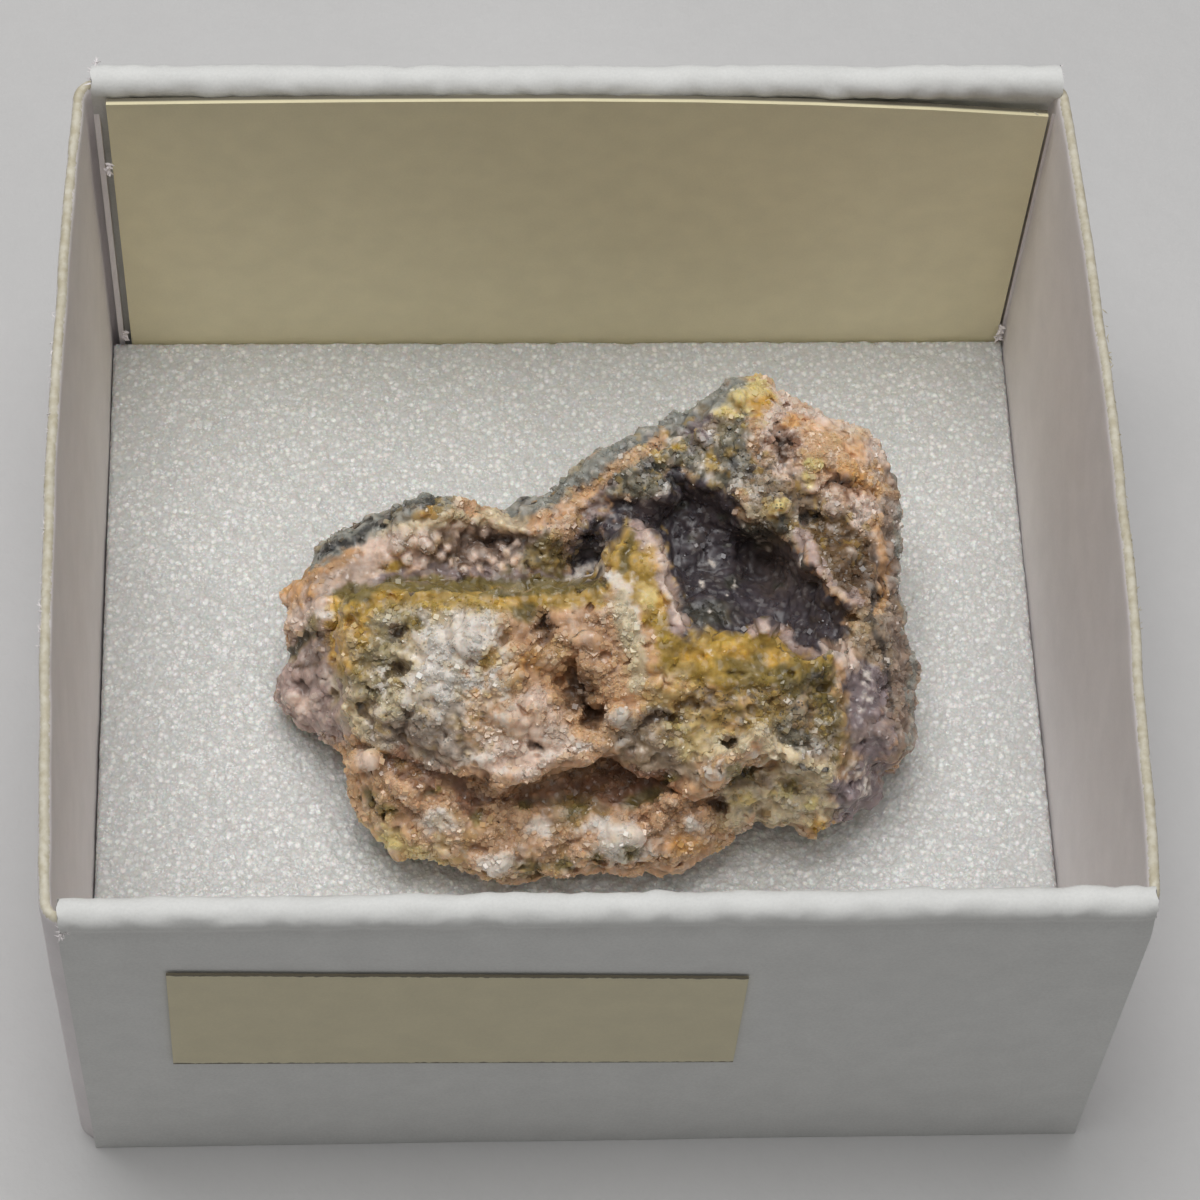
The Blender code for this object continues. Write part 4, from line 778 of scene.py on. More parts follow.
# Painted streaks: colour, half width, strength, points
STREAKS = (
    ("white", 0.14, 0.7, ((-1.8, 2.1), (-0.8, 2.35), (0.0, 2.75))),
    ("mustard", 0.55, 0.9, ((-10.5, 1.2), (-9, 1.5), (-7, 1.6), (-5, 1.5), (-2, 1.5), (0.3, 1.6))),
    ("olive", 0.32, 0.95, ((-10.7, 1.75), (-8, 2.05), (-5, 1.95), (-2, 2.0), (0.3, 2.05))),
    ("white", 0.34, 0.75, ((0.9, 2.4), (1.3, 1.8), (1.6, 1.0), (1.7, 0.2))),
    ("nub pink", 0.42, 1.0, ((2.1, 4.4), (2.6, 3.8), (2.8, 2.9), (3.1, 2.0), (3.4, 1.2), (3.8, 0.4))),
    ("pale pink", 0.2, 0.7, ((2.4, 4.1), (2.8, 3.2), (3.0, 2.2), (3.3, 1.3), (3.7, 0.6))),
    ("nub pink", 0.24, 0.9, ((6.9, 0.1), (7.5, 0.4), (8.2, -0.1), (8.9, -0.8), (9.6, -0.9))),
    ("cream", 0.45, 0.85, ((1.2, 1.4), (1.6, 0.2), (1.9, -1), (2.0, -2.2))),
    ("host", 0.55, 1.0, ((-12.1, 3.2), (-10.8, 4.1), (-9, 4.9), (-7.9, 5.4), (-6.4, 5.8))),
    ("dark host", 0.18, 0.8, ((-11.6, 3.4), (-9.6, 4.5), (-7.9, 5.3), (-6.6, 5.7))),
    ("host", 0.6, 1.0, ((-3.2, 5.3), (-1.1, 6.4), (0.4, 7.4), (2.1, 8.3), (4, 9.3), (6.1, 10.5))),
    ("host", 0.16, 0.9, ((12.6, 7.9), (13.2, 6), (13.25, 3.5), (13.15, 2.5), (13.4, 1.0), (13.75, -1),
     (13.8, -2.6), (13.6, -4.9))),
    ("olive", 0.3, 0.8, ((-11.9, 0.4), (-12.5, -0.4), (-12.9, -1.0))),
    ("dark host", 0.2, 0.7, ((-12.2, 0.0), (-12.9, -0.9))),
    ("peach", 0.3, 0.8, ((-2.4, 4.5), (-0.9, 5.4), (0.1, 6.2), (1.3, 7.2), (3, 8.4))),
    ("cream", 0.42, 0.85, ((5.2, -5), (6.4, -4.7), (7.1, -4.3), (8, -5.1), (9, -5.7), (10.2, -6))),
    ("salmon", 0.45, 0.8, ((-5, -6.1), (-4.2, -6.7), (-2.6, -6.4), (-1.2, -5.8), (0.3, -5.2))),
    ("nub pink", 0.26, 0.95, ((8.8, 4.4), (9.3, 3.8), (9.7, 2.9), (10.3, 2.1), (11.4, 1.3))),
    ("pale pink", 0.3, 0.85, ((10.1, -0.6), (10.9, -0.8), (11.3, -1.5))),
    ("ochre", 0.2, 0.6, ((-7.4, 5.0), (-6.6, 5.4))),
    ("brown", 0.2, 0.6, ((-5.2, 3.95), (-4.2, 3.9), (-3.1, 3.75))),
    ("olive", 0.2, 0.8, ((1.25, 2.6), (1.5, 3.4), (1.8, 4.1))),
    ("white", 0.16, 0.7, ((0.5, 2.3), (0.4, 2.9))),
    ("orange", 0.22, 0.5, ((12.3, 4.6), (12.6, 2.6), (12.4, 1.0))),
    ("dark host", 0.16, 0.7, ((12.0, 2.0), (12.1, 0.6), (12.6, -1.2), (12.9, -3.2))),
)

# Painted spots: colour, strength, then (u, v, radius along u, radius along v) of each
SPOTS = (
    ("yellow cream", 0.9, ((8.2, -6.8, 0.7, 0.4), (6.6, -7.3, 0.5, 0.3), (9.3, -7.5, 0.4, 0.3),
     (6.3, 10.1, 0.4, 0.4), (2.3, 1.5, 0.35, 0.5), (8.0, 5.4, 0.5, 0.45), (9.4, 7.2, 0.3, 0.25),
     (9.3, 6.6, 0.25, 0.25), (-8.6, -9.0, 0.6, 0.4))),
    ("orange", 0.9, ((7.2, 9.7, 0.5, 0.4), (-7.0, 5.2, 0.25, 0.2), (4.0, -9.2, 0.9, 0.5),
     (8.6, 9.0, 0.6, 0.3), (-5.0, -2.5, 0.3, 0.3), (-2.8, -1.2, 0.6, 0.4))),
    ("gold", 0.85, ((4.5, -0.9, 0.8, 0.35), (6.3, -0.8, 0.7, 0.3), (7.9, -1.0, 0.6, 0.4),
     (2.5, 3.1, 0.3, 0.6), (2.9, 1.3, 0.35, 0.6), (7.1, 9.8, 0.45, 0.4), (-7.0, 5.2, 0.25, 0.2),
     (9.8, -8.4, 0.55, 0.4), (-8.6, 1.6, 0.7, 0.25), (-3.6, 1.5, 0.8, 0.2), (5.1, 7.2, 0.4, 0.4),
     (-4.4, -1.0, 0.4, 0.5))),
    ("mustard", 1.0, ((5.0, 7.2, 0.35, 0.4), (2.6, 7.6, 0.3, 0.3), (3.6, 7.9, 0.3, 0.25),
     (-8.5, 2.8, 0.5, 0.3), (4.3, -1.5, 0.5, 0.4))),
    ("dark host", 0.8, ((6.0, 7.3, 0.4, 0.35), (2.4, 7.0, 0.5, 0.3), (3.4, 6.3, 0.4, 0.3),
     (9.3, 4.9, 0.5, 0.35), (-3.0, 5.5, 0.3, 0.3), (6.9, 7.0, 0.25, 0.3), (9.7, -1.9, 0.35, 0.2),
     (-9.9, -3.2, 0.3, 0.25))),
    ("vug grey", 0.95, ((5.0, 0.8, 1.0, 0.6), (7.2, 4.2, 0.6, 0.5), (8.2, 4.6, 0.4, 0.4))),
    ("vug grey", 0.9, ((5.9, 3.9, 0.2, 0.15), (6.6, 4.3, 0.25, 0.2), (7.0, 3.7, 0.3, 0.2),
     (6.1, 2.2, 0.4, 0.3), (8.9, 2.9, 0.2, 0.2), (4.2, 3.9, 0.2, 0.2), (7.9, 2.1, 0.25, 0.2),
     (5.6, 4.9, 0.3, 0.2), (3.9, 5.4, 0.3, 0.2))),
    ("white", 0.8, ((7.5, 3.6, 0.18, 0.14), (4.7, 2.2, 0.14, 0.12), (5.3, 3.0, 0.16, 0.12),
     (6.6, 4.4, 0.1, 0.1), (7.1, 4.0, 0.12, 0.1), (6.2, 2.1, 0.12, 0.1), (8.8, 3.0, 0.1, 0.1),
     (5.7, 1.5, 0.1, 0.08), (4.9, 0.9, 0.1, 0.08), (3.0, 6.0, 0.25, 0.25), (-6.5, -8.1, 0.9, 0.4),
     (-4.0, -9.9, 0.9, 0.4), (1.2, -9.0, 1.0, 0.9), (4.4, -8.2, 0.45, 0.35), (-2.2, -8.4, 0.5, 0.3),
     (-1.9, -5.2, 0.4, 0.3), (-0.5, -4.9, 0.5, 0.2), (1.2, -3.6, 0.55, 0.5), (-11.4, 0.8, 0.45, 0.3),
     (9.6, -4.9, 0.6, 0.4), (0.4, -8.3, 0.5, 0.4))),
    ("pale pink", 0.85, ((-9.7, -5.5, 0.5, 0.5), (7.5, 0.25, 0.35, 0.25), (11.5, 5.3, 0.5, 0.6),
     (10.7, -0.8, 0.5, 0.4), (-12.4, -3.2, 0.7, 0.5), (-3.2, -5.6, 0.8, 0.5), (9.9, 9.3, 0.8, 0.4))),
    ("salmon", 0.85, ((0.2, -0.8, 0.9, 0.9), (-2.5, -3.6, 0.6, 0.5), (2.9, -8.0, 0.5, 0.5),
     (3.3, -7.2, 0.5, 0.5), (-3.6, -6.3, 0.7, 0.3), (-5.4, -1.7, 0.3, 0.2))),
    ("brown ochre", 0.8, ((7.2, -6.3, 0.6, 0.25), (8.9, -6.7, 0.3, 0.25), (7.4, -7.8, 0.35, 0.2),
     (6.1, -6.6, 0.4, 0.25), (4.6, -3.0, 0.6, 0.3), (3.4, -4.4, 0.5, 0.3))),
    ("brown", 0.8, ((-2.0, 0.35, 0.45, 0.6), (2.9, -3.6, 0.9, 0.25), (5.9, -4.7, 0.35, 0.3),
     (-8.3, -0.1, 0.3, 0.25), (-8.4, -1.5, 0.35, 0.3), (5.4, -7.4, 0.4, 0.35), (10.7, 6.35, 0.7, 0.25),
     (8.1, 7.9, 0.35, 0.6), (-2.4, -4.8, 0.35, 0.2), (-12.2, -1.4, 0.5, 0.25), (-6.0, 3.1, 0.9, 0.3),
     (-0.6, -2.6, 0.7, 1.1), (-3.8, 3.9, 1.1, 0.3), (0.2, -3.6, 0.5, 0.5))),
    ("olive", 0.9, ((-2.6, -10.1, 0.8, 0.4), (0.2, -9.7, 0.4, 0.35), (1.7, -9.5, 0.35, 0.3),
     (-1.2, -9.9, 0.5, 0.35), (-2.9, -7.4, 0.4, 0.3), (-0.6, -7.7, 0.4, 0.3), (1.6, -7.3, 0.5, 0.4),
     (-6.8, -6.9, 0.4, 0.2), (3.4, -6.3, 0.4, 0.3), (-4.9, -7.8, 0.4, 0.35), (-8.8, -7.6, 0.5, 0.3),
     (-7.7, 0.4, 0.5, 0.4), (2.2, -7.0, 0.6, 0.35), (-9.6, -7.0, 0.5, 0.4), (8.6, -6.4, 0.4, 0.25),
     (-2.9, 0.9, 0.6, 0.5), (6.3, -6.1, 0.5, 0.3))),
)

# Where dark and pale mineral grains are mixed in: amount, outline
SPECKLED = (
    (0.75, ((1, 5.7), (1.4, 8.2), (4, 9.4), (7.4, 9), (9, 7), (12, 5), (12.3, 2), (9, 3.8), (6.4, 5.6))),
    (0.8, ((4, -2), (10.8, -1.4), (10.9, -5.7), (7, -4.4), (4.4, -4.6))),
    (0.55, ((-10.8, 1.6), (-3.4, 1.8), (-4.4, -5.7), (-9.6, -5), (-10.8, -3.6))),
    (0.5, ((5.6, -6), (10.2, -6.2), (10, -8.4), (6, -8.6))),
    (0.3, ((3.9, -0.4), (4.1, 1.4), (6.2, 1.4), (6.4, -0.2))),
    (0.4, ((-3, -9), (3, -9), (3, -10.7), (-3, -11))),
    (0.6, ((-4.3, 2.5), (-1, 2.5), (2.6, 8), (1.6, 8.4), (-2, 5.2))),
)

# Where white sugary mineral lies over the crust: how much, outline
SUGARED = (
    (0.58, ((-7.6, 1.0), (-3.6, 1.2), (-3.6, -2), (-5.6, -2.6), (-7.6, -1.4))),
    (0.42, ((-9.8, 0.6), (-3.2, 1.2), (-3.0, -2), (-1.6, -3.4), (-0.4, -5), (-4.6, -6.6), (-8, -4.2),
     (-9.8, -2.6))),
    (0.36, ((-7.6, -7.6), (-3, -7.6), (2.8, -7.4), (3.4, -9.6), (0, -10.8), (-5, -10.6))),
    (0.8, ((0.3, -8.2), (2.4, -8.0), (2.8, -9.6), (0.8, -10.2))),
    (0.55, ((-5.4, -9.2), (-3.4, -9.4), (-2.8, -10.6), (-4.8, -10.6))),
    (0.25, ((-8.8, 4.4), (-5, 4.9), (-1.4, 4.6), (-2, 3), (-8, 2.8))),
    (0.4, ((7.4, 9.8), (10.2, 9.8), (12.8, 7.8), (12.6, 5.2), (11.6, 6), (11, 7.8), (9.2, 8.8))),
    (0.42, ((0.6, 2), (1.9, 2.4), (2.5, -1), (1.8, -3), (1, -1))),
    (0.42, ((0.4, -2.8), (2.2, -2.8), (5.4, -4), (8, -4.4), (10.4, -5), (9.6, -8), (6, -7), (1, -5))),
    (0.4, ((1.2, 6.4), (3, 8.6), (5.6, 9.2), (7, 7.4), (8.6, 5.2), (6.6, 5.8), (3.4, 6.8))),
    (0.4, ((10.6, -0.4), (12, -0.8), (12.6, -3.4), (12.2, -7), (10.6, -7.6), (10.8, -4))),
)
SUGAR_SIZES = ((1.3, 0.5), (0.55, 0.4), (0.24, 0.36), (0.13, 0.2))
SUGAR_SHARE = 0.75
SUGAR_LEAST = 0.08
SUGAR_UNEVENNESS = 0.5
SUGAR_LIMITS = (0.42, 0.66)
SPECKLE_LEAST = 0.12

# Stains over the crust and grains in it: colour, strength, where the waves start to show and
# are full, the shift and the layers of the waves
GRAIN_WAVES = ((0.36, 0.8), (0.17, 0.4))
FLECK_WAVES = ((0.7, 0.6), (0.3, 0.5))
DUST = ("white", 0.25, 0.12, 0.55, 71, ((1.3, 0.6), (0.5, 0.5)))
RUST = ("ochre", 0.3, 0.2, 0.6, 81, ((1.9, 0.6), (0.7, 0.5)))
MINERAL_GRAINS = (
    ("dark host", 0.7, 0.26, 0.5, 91, GRAIN_WAVES),
    ("white", 0.6, -0.25, -0.6, 91, GRAIN_WAVES),
    ("ochre", 0.7, 0.22, 0.42, 111, FLECK_WAVES),
    ("nub pink", 0.35, -0.3, -0.55, 111, FLECK_WAVES),
)

# Stains of the broken rock: colour, strength, where the waves start and are full, size, shift
BREAK_STAINS = (
    ("dark host", 1, -0.2, 0.5, 1.6, 4), ("mauve", 0.7, 0.1, 0.5, 2.6, 14),
    ("olive", 0.8, 0.15, 0.5, 2.1, 24), ("salmon", 0.7, 0.3, 0.6, 3.1, 34),
    ("cream", 0.5, 0.35, 0.6, 0.9, 44),
)

PAINT_GAIN = np.array((1.31, 1.37, 1.43))
PAINT_MIDDLE = 0.34
PAINT_CONTRAST = 1.22
PAINT_LIMIT = 0.86
PAINT_WAVES = ((1.5, 0.5), (0.6, 0.36), (0.26, 0.2))
PATCH_SIZE = 0.5
PATCH_RISE = 0.25
TONE_WAVES = ((0.7, 0.2), (0.3, 0.16))
# Painted shade in the hollows: how far each channel darkens at full depth
CREVICE_SHADE = np.array((0.26, 0.31, 0.34))
# How much lighter the raised edges are made
RAISED_EDGE_GAIN = 0.2
BROAD_CAVITY_SHARE = 0.35
SMOOTH_WAX = 0.8


def linear(colour):
    """Linear light of a 0 to 255 sRGB colour."""
    share = np.array(colour) / 255
    return np.where(share <= 0.04045, share / 12.92, ((share + 0.055) / 1.055) ** 2.4)


def paint_of(name):
    """Surface colour that looks like a named colour under the scene's light."""
    paint = linear(COLOURS[name]) * PAINT_GAIN
    return paint * min(1, PAINT_LIMIT / paint.max())


def within_limit(colours):
    """Colours with the brightest ones dimmed, each keeping its hue."""
    peak = colours.max(axis=1, keepdims=True)
    return colours * np.minimum(1, PAINT_LIMIT / np.maximum(peak, 0.01))


def mixed(colours, name, share):
    """Colours moved towards a named one by a share each."""
    return colours + (paint_of(name) - colours) * share[:, None]


def paint_sight(points, u, v, cavity):
    """Colours of the side that faces up and forward."""
    warp_u = u + layered_noise(points + 5, PAINT_WAVES)
    warp_v = v + layered_noise(points + 25, PAINT_WAVES)
    near_u, near_v = (u + warp_u) / 2, (v + warp_v) / 2
    patchy = PATCH_RISE * noise(points / PATCH_SIZE + 45)
    colours = np.tile(paint_of("salmon"), (len(points), 1))
    for name, softness, strength, outline in AREAS:
        inside = depth_inside(outline, warp_u, warp_v) + patchy
        colours = mixed(colours, name, strength * smooth_step(-softness, softness, inside))
    sugar = area_amount(SUGARED, points, u, v, SUGAR_LEAST)
    sugar += SUGAR_UNEVENNESS * layered_noise(points + 101, SUGAR_SIZES)
    sugar = smooth_step(*SUGAR_LIMITS, sugar)
    colours = mixed(colours, "white", SUGAR_SHARE * sugar * smooth_step(0.12, 0.0, cavity))
    for name, half_width, strength, line in STREAKS:
        away = line_distance(line, near_u, near_v) / half_width + patchy
        colours = mixed(colours, name, strength * smooth_step(1.3, 0.6, away))
    for name, strength, spots in SPOTS:
        for spot_u, spot_v, radius_u, radius_v in spots:
            away = np.hypot((near_u - spot_u) / radius_u, (near_v - spot_v) / radius_v)
            colours = mixed(colours, name, strength * smooth_step(1.4, 0.5, away + patchy))
    return colours


def area_amount(areas, points, u, v, least):
    """How much of something lies at each point, from outlines that carry an amount."""
    amount = np.full(len(points), least)
    for share, outline in areas:
        inside = depth_inside(outline, u, v) + 0.4 * noise(points / 0.8 + 55)
        amount = np.maximum(amount, share * smooth_step(-0.4, 0.5, inside))
    return amount


def paint_break(points):
    """Colours of the broken rock behind and below: grey host with ochre and pink stains."""
    colours = np.tile(paint_of("host"), (len(points), 1))
    for name, strength, start, end, size, shift in BREAK_STAINS:
        share = strength * smooth_step(start, end, noise(points / size + shift))
        colours = mixed(colours, name, share)
    return colours


def stained(points, colours, stain, where):
    """Colours with one kind of stain or grain mixed in, by how much there is of it where."""
    name, strength, start, end, shift, waves = stain
    share = strength * where * smooth_step(start, end, layered_noise(points + shift, waves))
    return mixed(colours, name, share)


def dusted(points, colours, cavity, speckle, open_share):
    """White dusting, rust stains, mineral grains, painted shade in the hollows and lighter raised edges.
    """
    raised = smooth_step(0.05, -0.03, cavity)
    colours = stained(points, colours, DUST, raised * open_share)
    colours = stained(points, colours, RUST, open_share)
    for grain in MINERAL_GRAINS:
        colours = stained(points, colours, grain, speckle)
    # Painted shade: darker where the surface lies below its surroundings; lighter on raised edges
    crevice_shade = smooth_step(0.02, 0.22, cavity)
    ridge = smooth_step(0.01, 0.1, -cavity)
    return colours * (1 - crevice_shade[:, None] * CREVICE_SHADE) * (1 + RAISED_EDGE_GAIN * ridge[:, None])


def cavity_depth(mesh, rounds):
    """How far each point lies below its smoothed surroundings, in millimetres."""
    points = read_points(mesh)
    even = relax(points, read_edges(mesh), np.ones(len(points)), rounds)
    return np.einsum("ij,ij->i", even - points, read_normals(mesh))


def store_value(mesh, name, values):
    """Keep one number per vertex."""
    layer = mesh.attributes.new(name, "FLOAT", "POINT")
    layer.data.foreach_set("value", np.asarray(values, dtype=np.float32))


def read_value(mesh, name):
    """Numbers kept per vertex."""
    return read_numbers(mesh.attributes[name].data, "value", 1, np.float32).ravel()


def store_colour(mesh, name, colours):
    """Keep one colour per vertex."""
    layer = mesh.color_attributes.new(name, "FLOAT_COLOR", "POINT")
    opaque = np.column_stack((np.clip(colours, 0, 1), np.ones(len(colours))))
    layer.data.foreach_set("color", opaque.astype(np.float32).ravel())


def read_colours(mesh, name):
    """Colours kept per vertex."""
    values = read_numbers(mesh.color_attributes[name].data, "color", 4, np.float32)
    return values[:, :3].astype(float)


def paint_stone(mesh):
    """Store the stone's colours, speckle and gloss on its vertices."""
    points = read_points(mesh)
    broken = read_value(mesh, "broken")
    u, v = sight_place(points)
    cavity = cavity_depth(mesh, 4) + BROAD_CAVITY_SHARE * cavity_depth(mesh, 40)
    colours = paint_sight(points, u, v, cavity)
    ball = smooth_step(0.04, 0.2, ball_height(RIDGE_BALLS, u, v)) * (1 - broken)
    colours = mixed(colours, "pale pink", BALL_PINK * ball)
    facing = read_normals(mesh) @ SIGHT_OUT
    hidden = smooth_step(-0.08, -0.3, facing + 0.12 * noise(points / 1.1 + 51))
    colours += (paint_break(points) - colours) * hidden[:, None]
    hollow = hollow_share(u, v, -0.1, 0.2, 0.1) * (1 - hidden)
    waxy = np.maximum(hollow, SMOOTH_WAX * covered(SMOOTH_AREAS, u, v, AREA_SOFTNESS))
    speckle = area_amount(SPECKLED, points, u, v, SPECKLE_LEAST) * (1 - 0.6 * waxy)
    tone = 1 + layered_noise(points + 61, TONE_WAVES)
    colours = dusted(points, colours * tone[:, None], cavity, speckle, 1 - 0.8 * waxy)
    level = colours.mean(axis=1, keepdims=True)
    colours = colours * np.maximum(level / PAINT_MIDDLE, 0.05) ** (PAINT_CONTRAST - 1)
    store_colour(mesh, "paint", within_limit(colours))
    store_value(mesh, "hollow", hollow)
    store_value(mesh, "speckle", speckle)


def with_modifier(mesh, kind, set_up):
    """A new mesh that holds what one modifier makes of a mesh."""
    form = bpy.data.objects.new("form", mesh)
    bpy.context.scene.collection.objects.link(form)
    set_up(form, form.modifiers.new("change", kind))
    evaluated = form.evaluated_get(bpy.context.evaluated_depsgraph_get())
    changed = bpy.data.meshes.new_from_object(evaluated)
    bpy.data.objects.remove(form, do_unlink=True)
    return changed


def evenly_meshed(mesh, voxel):
    """The same closed form with faces of one size all over."""
    def set_up(_, remesh):
        remesh.mode = "VOXEL"
        remesh.voxel_size = voxel * MM

    return with_modifier(mesh, "REMESH", set_up)


def thinned(mesh, triangles):
    """The mesh with fewer triangles, taken mostly from the hidden sides."""
    present = sum(len(face.vertices) - 2 for face in mesh.polygons)

    def set_up(form, thin):
        group = form.vertex_groups.new(name="thin")
        for index in np.flatnonzero(read_value(mesh, "broken") > 0.5):
            group.add([int(index)], 1.0, "REPLACE")
        thin.ratio = min(1, triangles / present)
        thin.vertex_group = group.name
        thin.vertex_group_factor = 1.0

    return with_modifier(mesh, "DECIMATE", set_up)


class Nodes:
    """Short ways to add and join the nodes of one material."""

    def __init__(self, name):
        self.material = bpy.data.materials.new(name)
        self.material.use_nodes = True
        self.tree = self.material.node_tree
        self.shader = self.tree.nodes["Principled BSDF"]
        self.place = self.add("ShaderNodeTexCoord").outputs["Object"]

    def add(self, kind, **settings):
        node = self.tree.nodes.new(kind)
        for key, value in settings.items():
            setattr(node, key, value)
        return node

    def join(self, source, target):
        if hasattr(source, "is_output"):
            self.tree.links.new(source, target)
        else:
            target.default_value = source

    def fill(self, node, **values):
        for key, value in values.items():
            self.join(value, node.inputs[key.replace("_", " ")])

    def set(self, **values):
        self.fill(self.shader, **values)

    def noise(self, size_mm, detail=2.0, roughness=0.5):
        node = self.add("ShaderNodeTexNoise")
        self.fill(node, Vector=self.place, Scale=1 / (size_mm * MM))
        self.fill(node, Detail=detail, Roughness=roughness)
        return node.outputs["Fac"]

    def cells(self, size_mm, output="Distance"):
        node = self.add("ShaderNodeTexVoronoi")
        self.fill(node, Vector=self.place, Scale=1 / (size_mm * MM))
        return node.outputs[output]

    def attribute(self, name, output="Fac"):
        return self.add("ShaderNodeAttribute", attribute_name=name).outputs[output]

    def ramp(self, value, low, high, start=0.0, end=1.0):
        node = self.add("ShaderNodeMapRange")
        self.fill(node, Value=value, From_Min=low, From_Max=high, To_Min=start, To_Max=end)
        return node.outputs["Result"]

    def math(self, operation, a, b):
        node = self.add("ShaderNodeMath", operation=operation)
        self.join(a, node.inputs[0])
        self.join(b, node.inputs[1])
        return node.outputs[0]

    def mix(self, share, a, b, blend="MIX"):
        node = self.add("ShaderNodeMix", data_type="RGBA", blend_type=blend)
        self.join(share, node.inputs["Factor"])
        self.join(a, node.inputs[6])
        self.join(b, node.inputs[7])
        return node.outputs[2]

    def split(self, kind, value):
        """The three parts of a colour or a place."""
        node = self.add("ShaderNodeSeparate" + kind)
        self.join(value, node.inputs[0])
        return node.outputs

    def grey(self, value):
        """A grey colour from one number."""
        node = self.add("ShaderNodeCombineColor")
        for channel in range(3):
            self.join(value, node.inputs[channel])
        return node.outputs[0]

    def shaded(self, colour, tone):
        """A colour made darker or lighter by one number."""
        return self.mix(1.0, colour, self.grey(tone), "MULTIPLY")

    def facing_up(self):
        """1 where the surface lies flat and faces up."""
        normal = self.add("ShaderNodeNewGeometry").outputs["True Normal"]
        return self.ramp(self.split("XYZ", normal)["Z"], 0.7, 0.8)

    def bump(self, height, strength, distance_mm, normal=None):
        node = self.add("ShaderNodeBump")
        self.fill(node, Height=height, Strength=strength, Distance=distance_mm * MM)
        if normal:
            self.join(normal, node.inputs["Normal"])
        return node.outputs["Normal"]


def full(colour):
    """Linear colour with alpha from a 0 to 255 sRGB colour."""
    return (*np.minimum(linear(colour), 0.95), 1)


# Specks of the crust, as linear colours
PALE_SPECK = (0.85, 0.82, 0.78, 1)
DARK_SPECK = (0.05, 0.052, 0.045, 1)
HOLLOW_ROUGHNESS = (0.46, 0.46, 0.46, 1)


def stone_colour(m, hollow, specks):
    """The painted colour with fine grain, pale and dark specks and black grains."""
    shade = m.ramp(m.noise(0.16, 3, 0.6), 0.25, 0.75, 0.9, 1.1)
    colour = m.shaded(m.attribute("paint", "Color"), shade)
    pale = m.math("MULTIPLY", m.ramp(specks[0], 0.86, 0.9), m.ramp(hollow, 0, 1, 0.16, 0.1))
    colour = m.mix(pale, colour, PALE_SPECK)
    black = m.ramp(m.cells(0.15), 0.3, 0.4, 1, 0)
    black = m.math("MULTIPLY", black, m.ramp(m.noise(0.5, 2), 0.54, 0.6))
    black = m.math("MULTIPLY", black, m.ramp(m.attribute("speckle"), 0.2, 0.8, 0, 0.8))
    dark = m.math("MULTIPLY", m.ramp(specks[1], 0.9, 0.94), 0.16)
    return m.mix(m.math("MAXIMUM", dark, black), colour, DARK_SPECK)


def stone_material():
    """Painted crust with fine grain, glittering facets and a little light let through."""
    m = Nodes("smithsonite_crust")
    hollow = m.attribute("hollow")
    specks = m.split("Color", m.cells(0.2, "Color"))
    rugged = m.ramp(hollow, 0, 1, 0.2, 0.06)
    normal = m.bump(m.cells(0.22), rugged, 0.07)
    normal = m.bump(m.cells(0.11), rugged, 0.03, normal)
    normal = m.bump(m.noise(0.5, 5, 0.65), m.ramp(hollow, 0, 1, 0.18, 0.06), 0.1, normal)
    glitter = m.grey(m.ramp(specks[2], 0.8, 0.86, 0.6, 0.26))
    m.set(Base_Color=stone_colour(m, hollow, specks), Normal=normal)
    m.set(Roughness=m.mix(hollow, glitter, HOLLOW_ROUGHNESS))
    m.set(Specular_IOR_Level=0.5, IOR=1.6, Subsurface_Weight=0.38, Subsurface_Scale=0.0005)
    m.set(Subsurface_Radius=(1.0, 0.7, 0.55))
    return m.material


# Small crystals all over the crust, most of them where it is pink
CRYSTALS = 15500
CRYSTAL_SIZES = (0.03, 0.13)
CRYSTAL_RARITY = 4
CRYSTAL_TILT = 0.6
CRYSTAL_FLATNESS = 0.85
CRYSTAL_SINK = 0.35
BARE_SHARE = 0.35
SIDE_GUIDE = (0.3, 0.5, 0.81)
CUBE_SIDES = ((0, 1, 3, 2), (4, 6, 7, 5), (0, 4, 5, 1), (2, 3, 7, 6), (0, 2, 6, 4), (1, 5, 7, 3))


def unit(vectors):
    """Vectors scaled to a length of 1."""
    return vectors / np.linalg.norm(vectors, axis=1)[:, None]


def crystal_mesh(middles, axes, sizes, spins, stretch=CRYSTAL_FLATNESS):
    """Many rhombohedra, each with one corner along its axis and stretched along it."""
    side = unit(np.cross(axes, SIDE_GUIDE))
    other = np.cross(axes, side)
    corners = np.array(list(itertools.product((-1, 1), repeat=3)))
    along = corners.sum(axis=1) / math.sqrt(3)
    across_a = (corners[:, 0] - corners[:, 1]) / math.sqrt(2)
    across_b = (corners[:, 0] + corners[:, 1] - 2 * corners[:, 2]) / math.sqrt(6)
    cos, sin = np.cos(spins)[:, None, None], np.sin(spins)[:, None, None]
    turned_a = cos * side[:, None] + sin * other[:, None]
    turned_b = cos * other[:, None] - sin * side[:, None]
    places = stretch * along[None, :, None] * axes[:, None]
    places = places + across_a[None, :, None] * turned_a + across_b[None, :, None] * turned_b
    places = middles[:, None] + sizes[:, None, None] * places
    starts = np.arange(len(middles))[:, None, None] * len(corners)
    return new_mesh(places, (starts + CUBE_SIDES).reshape(-1, 4).tolist())


def new_mesh(places, faces):
    """A mesh from places in millimetres and its faces."""
    mesh = bpy.data.meshes.new("form")
    mesh.from_pydata((places.reshape(-1, 3) * MM).tolist(), [], faces)
    mesh.update()
    return mesh


def crystal_material():
    """Glassy small faces in the colour of the crust beneath."""
    m = Nodes("smithsonite_crystals")
    m.set(Base_Color=m.attribute("paint", "Color"), Roughness=0.3)
    m.set(Specular_IOR_Level=0.5, IOR=1.65, Subsurface_Weight=0.35, Subsurface_Scale=0.0004)
    m.set(Subsurface_Radius=(1.0, 0.6, 0.45))
    return m.material


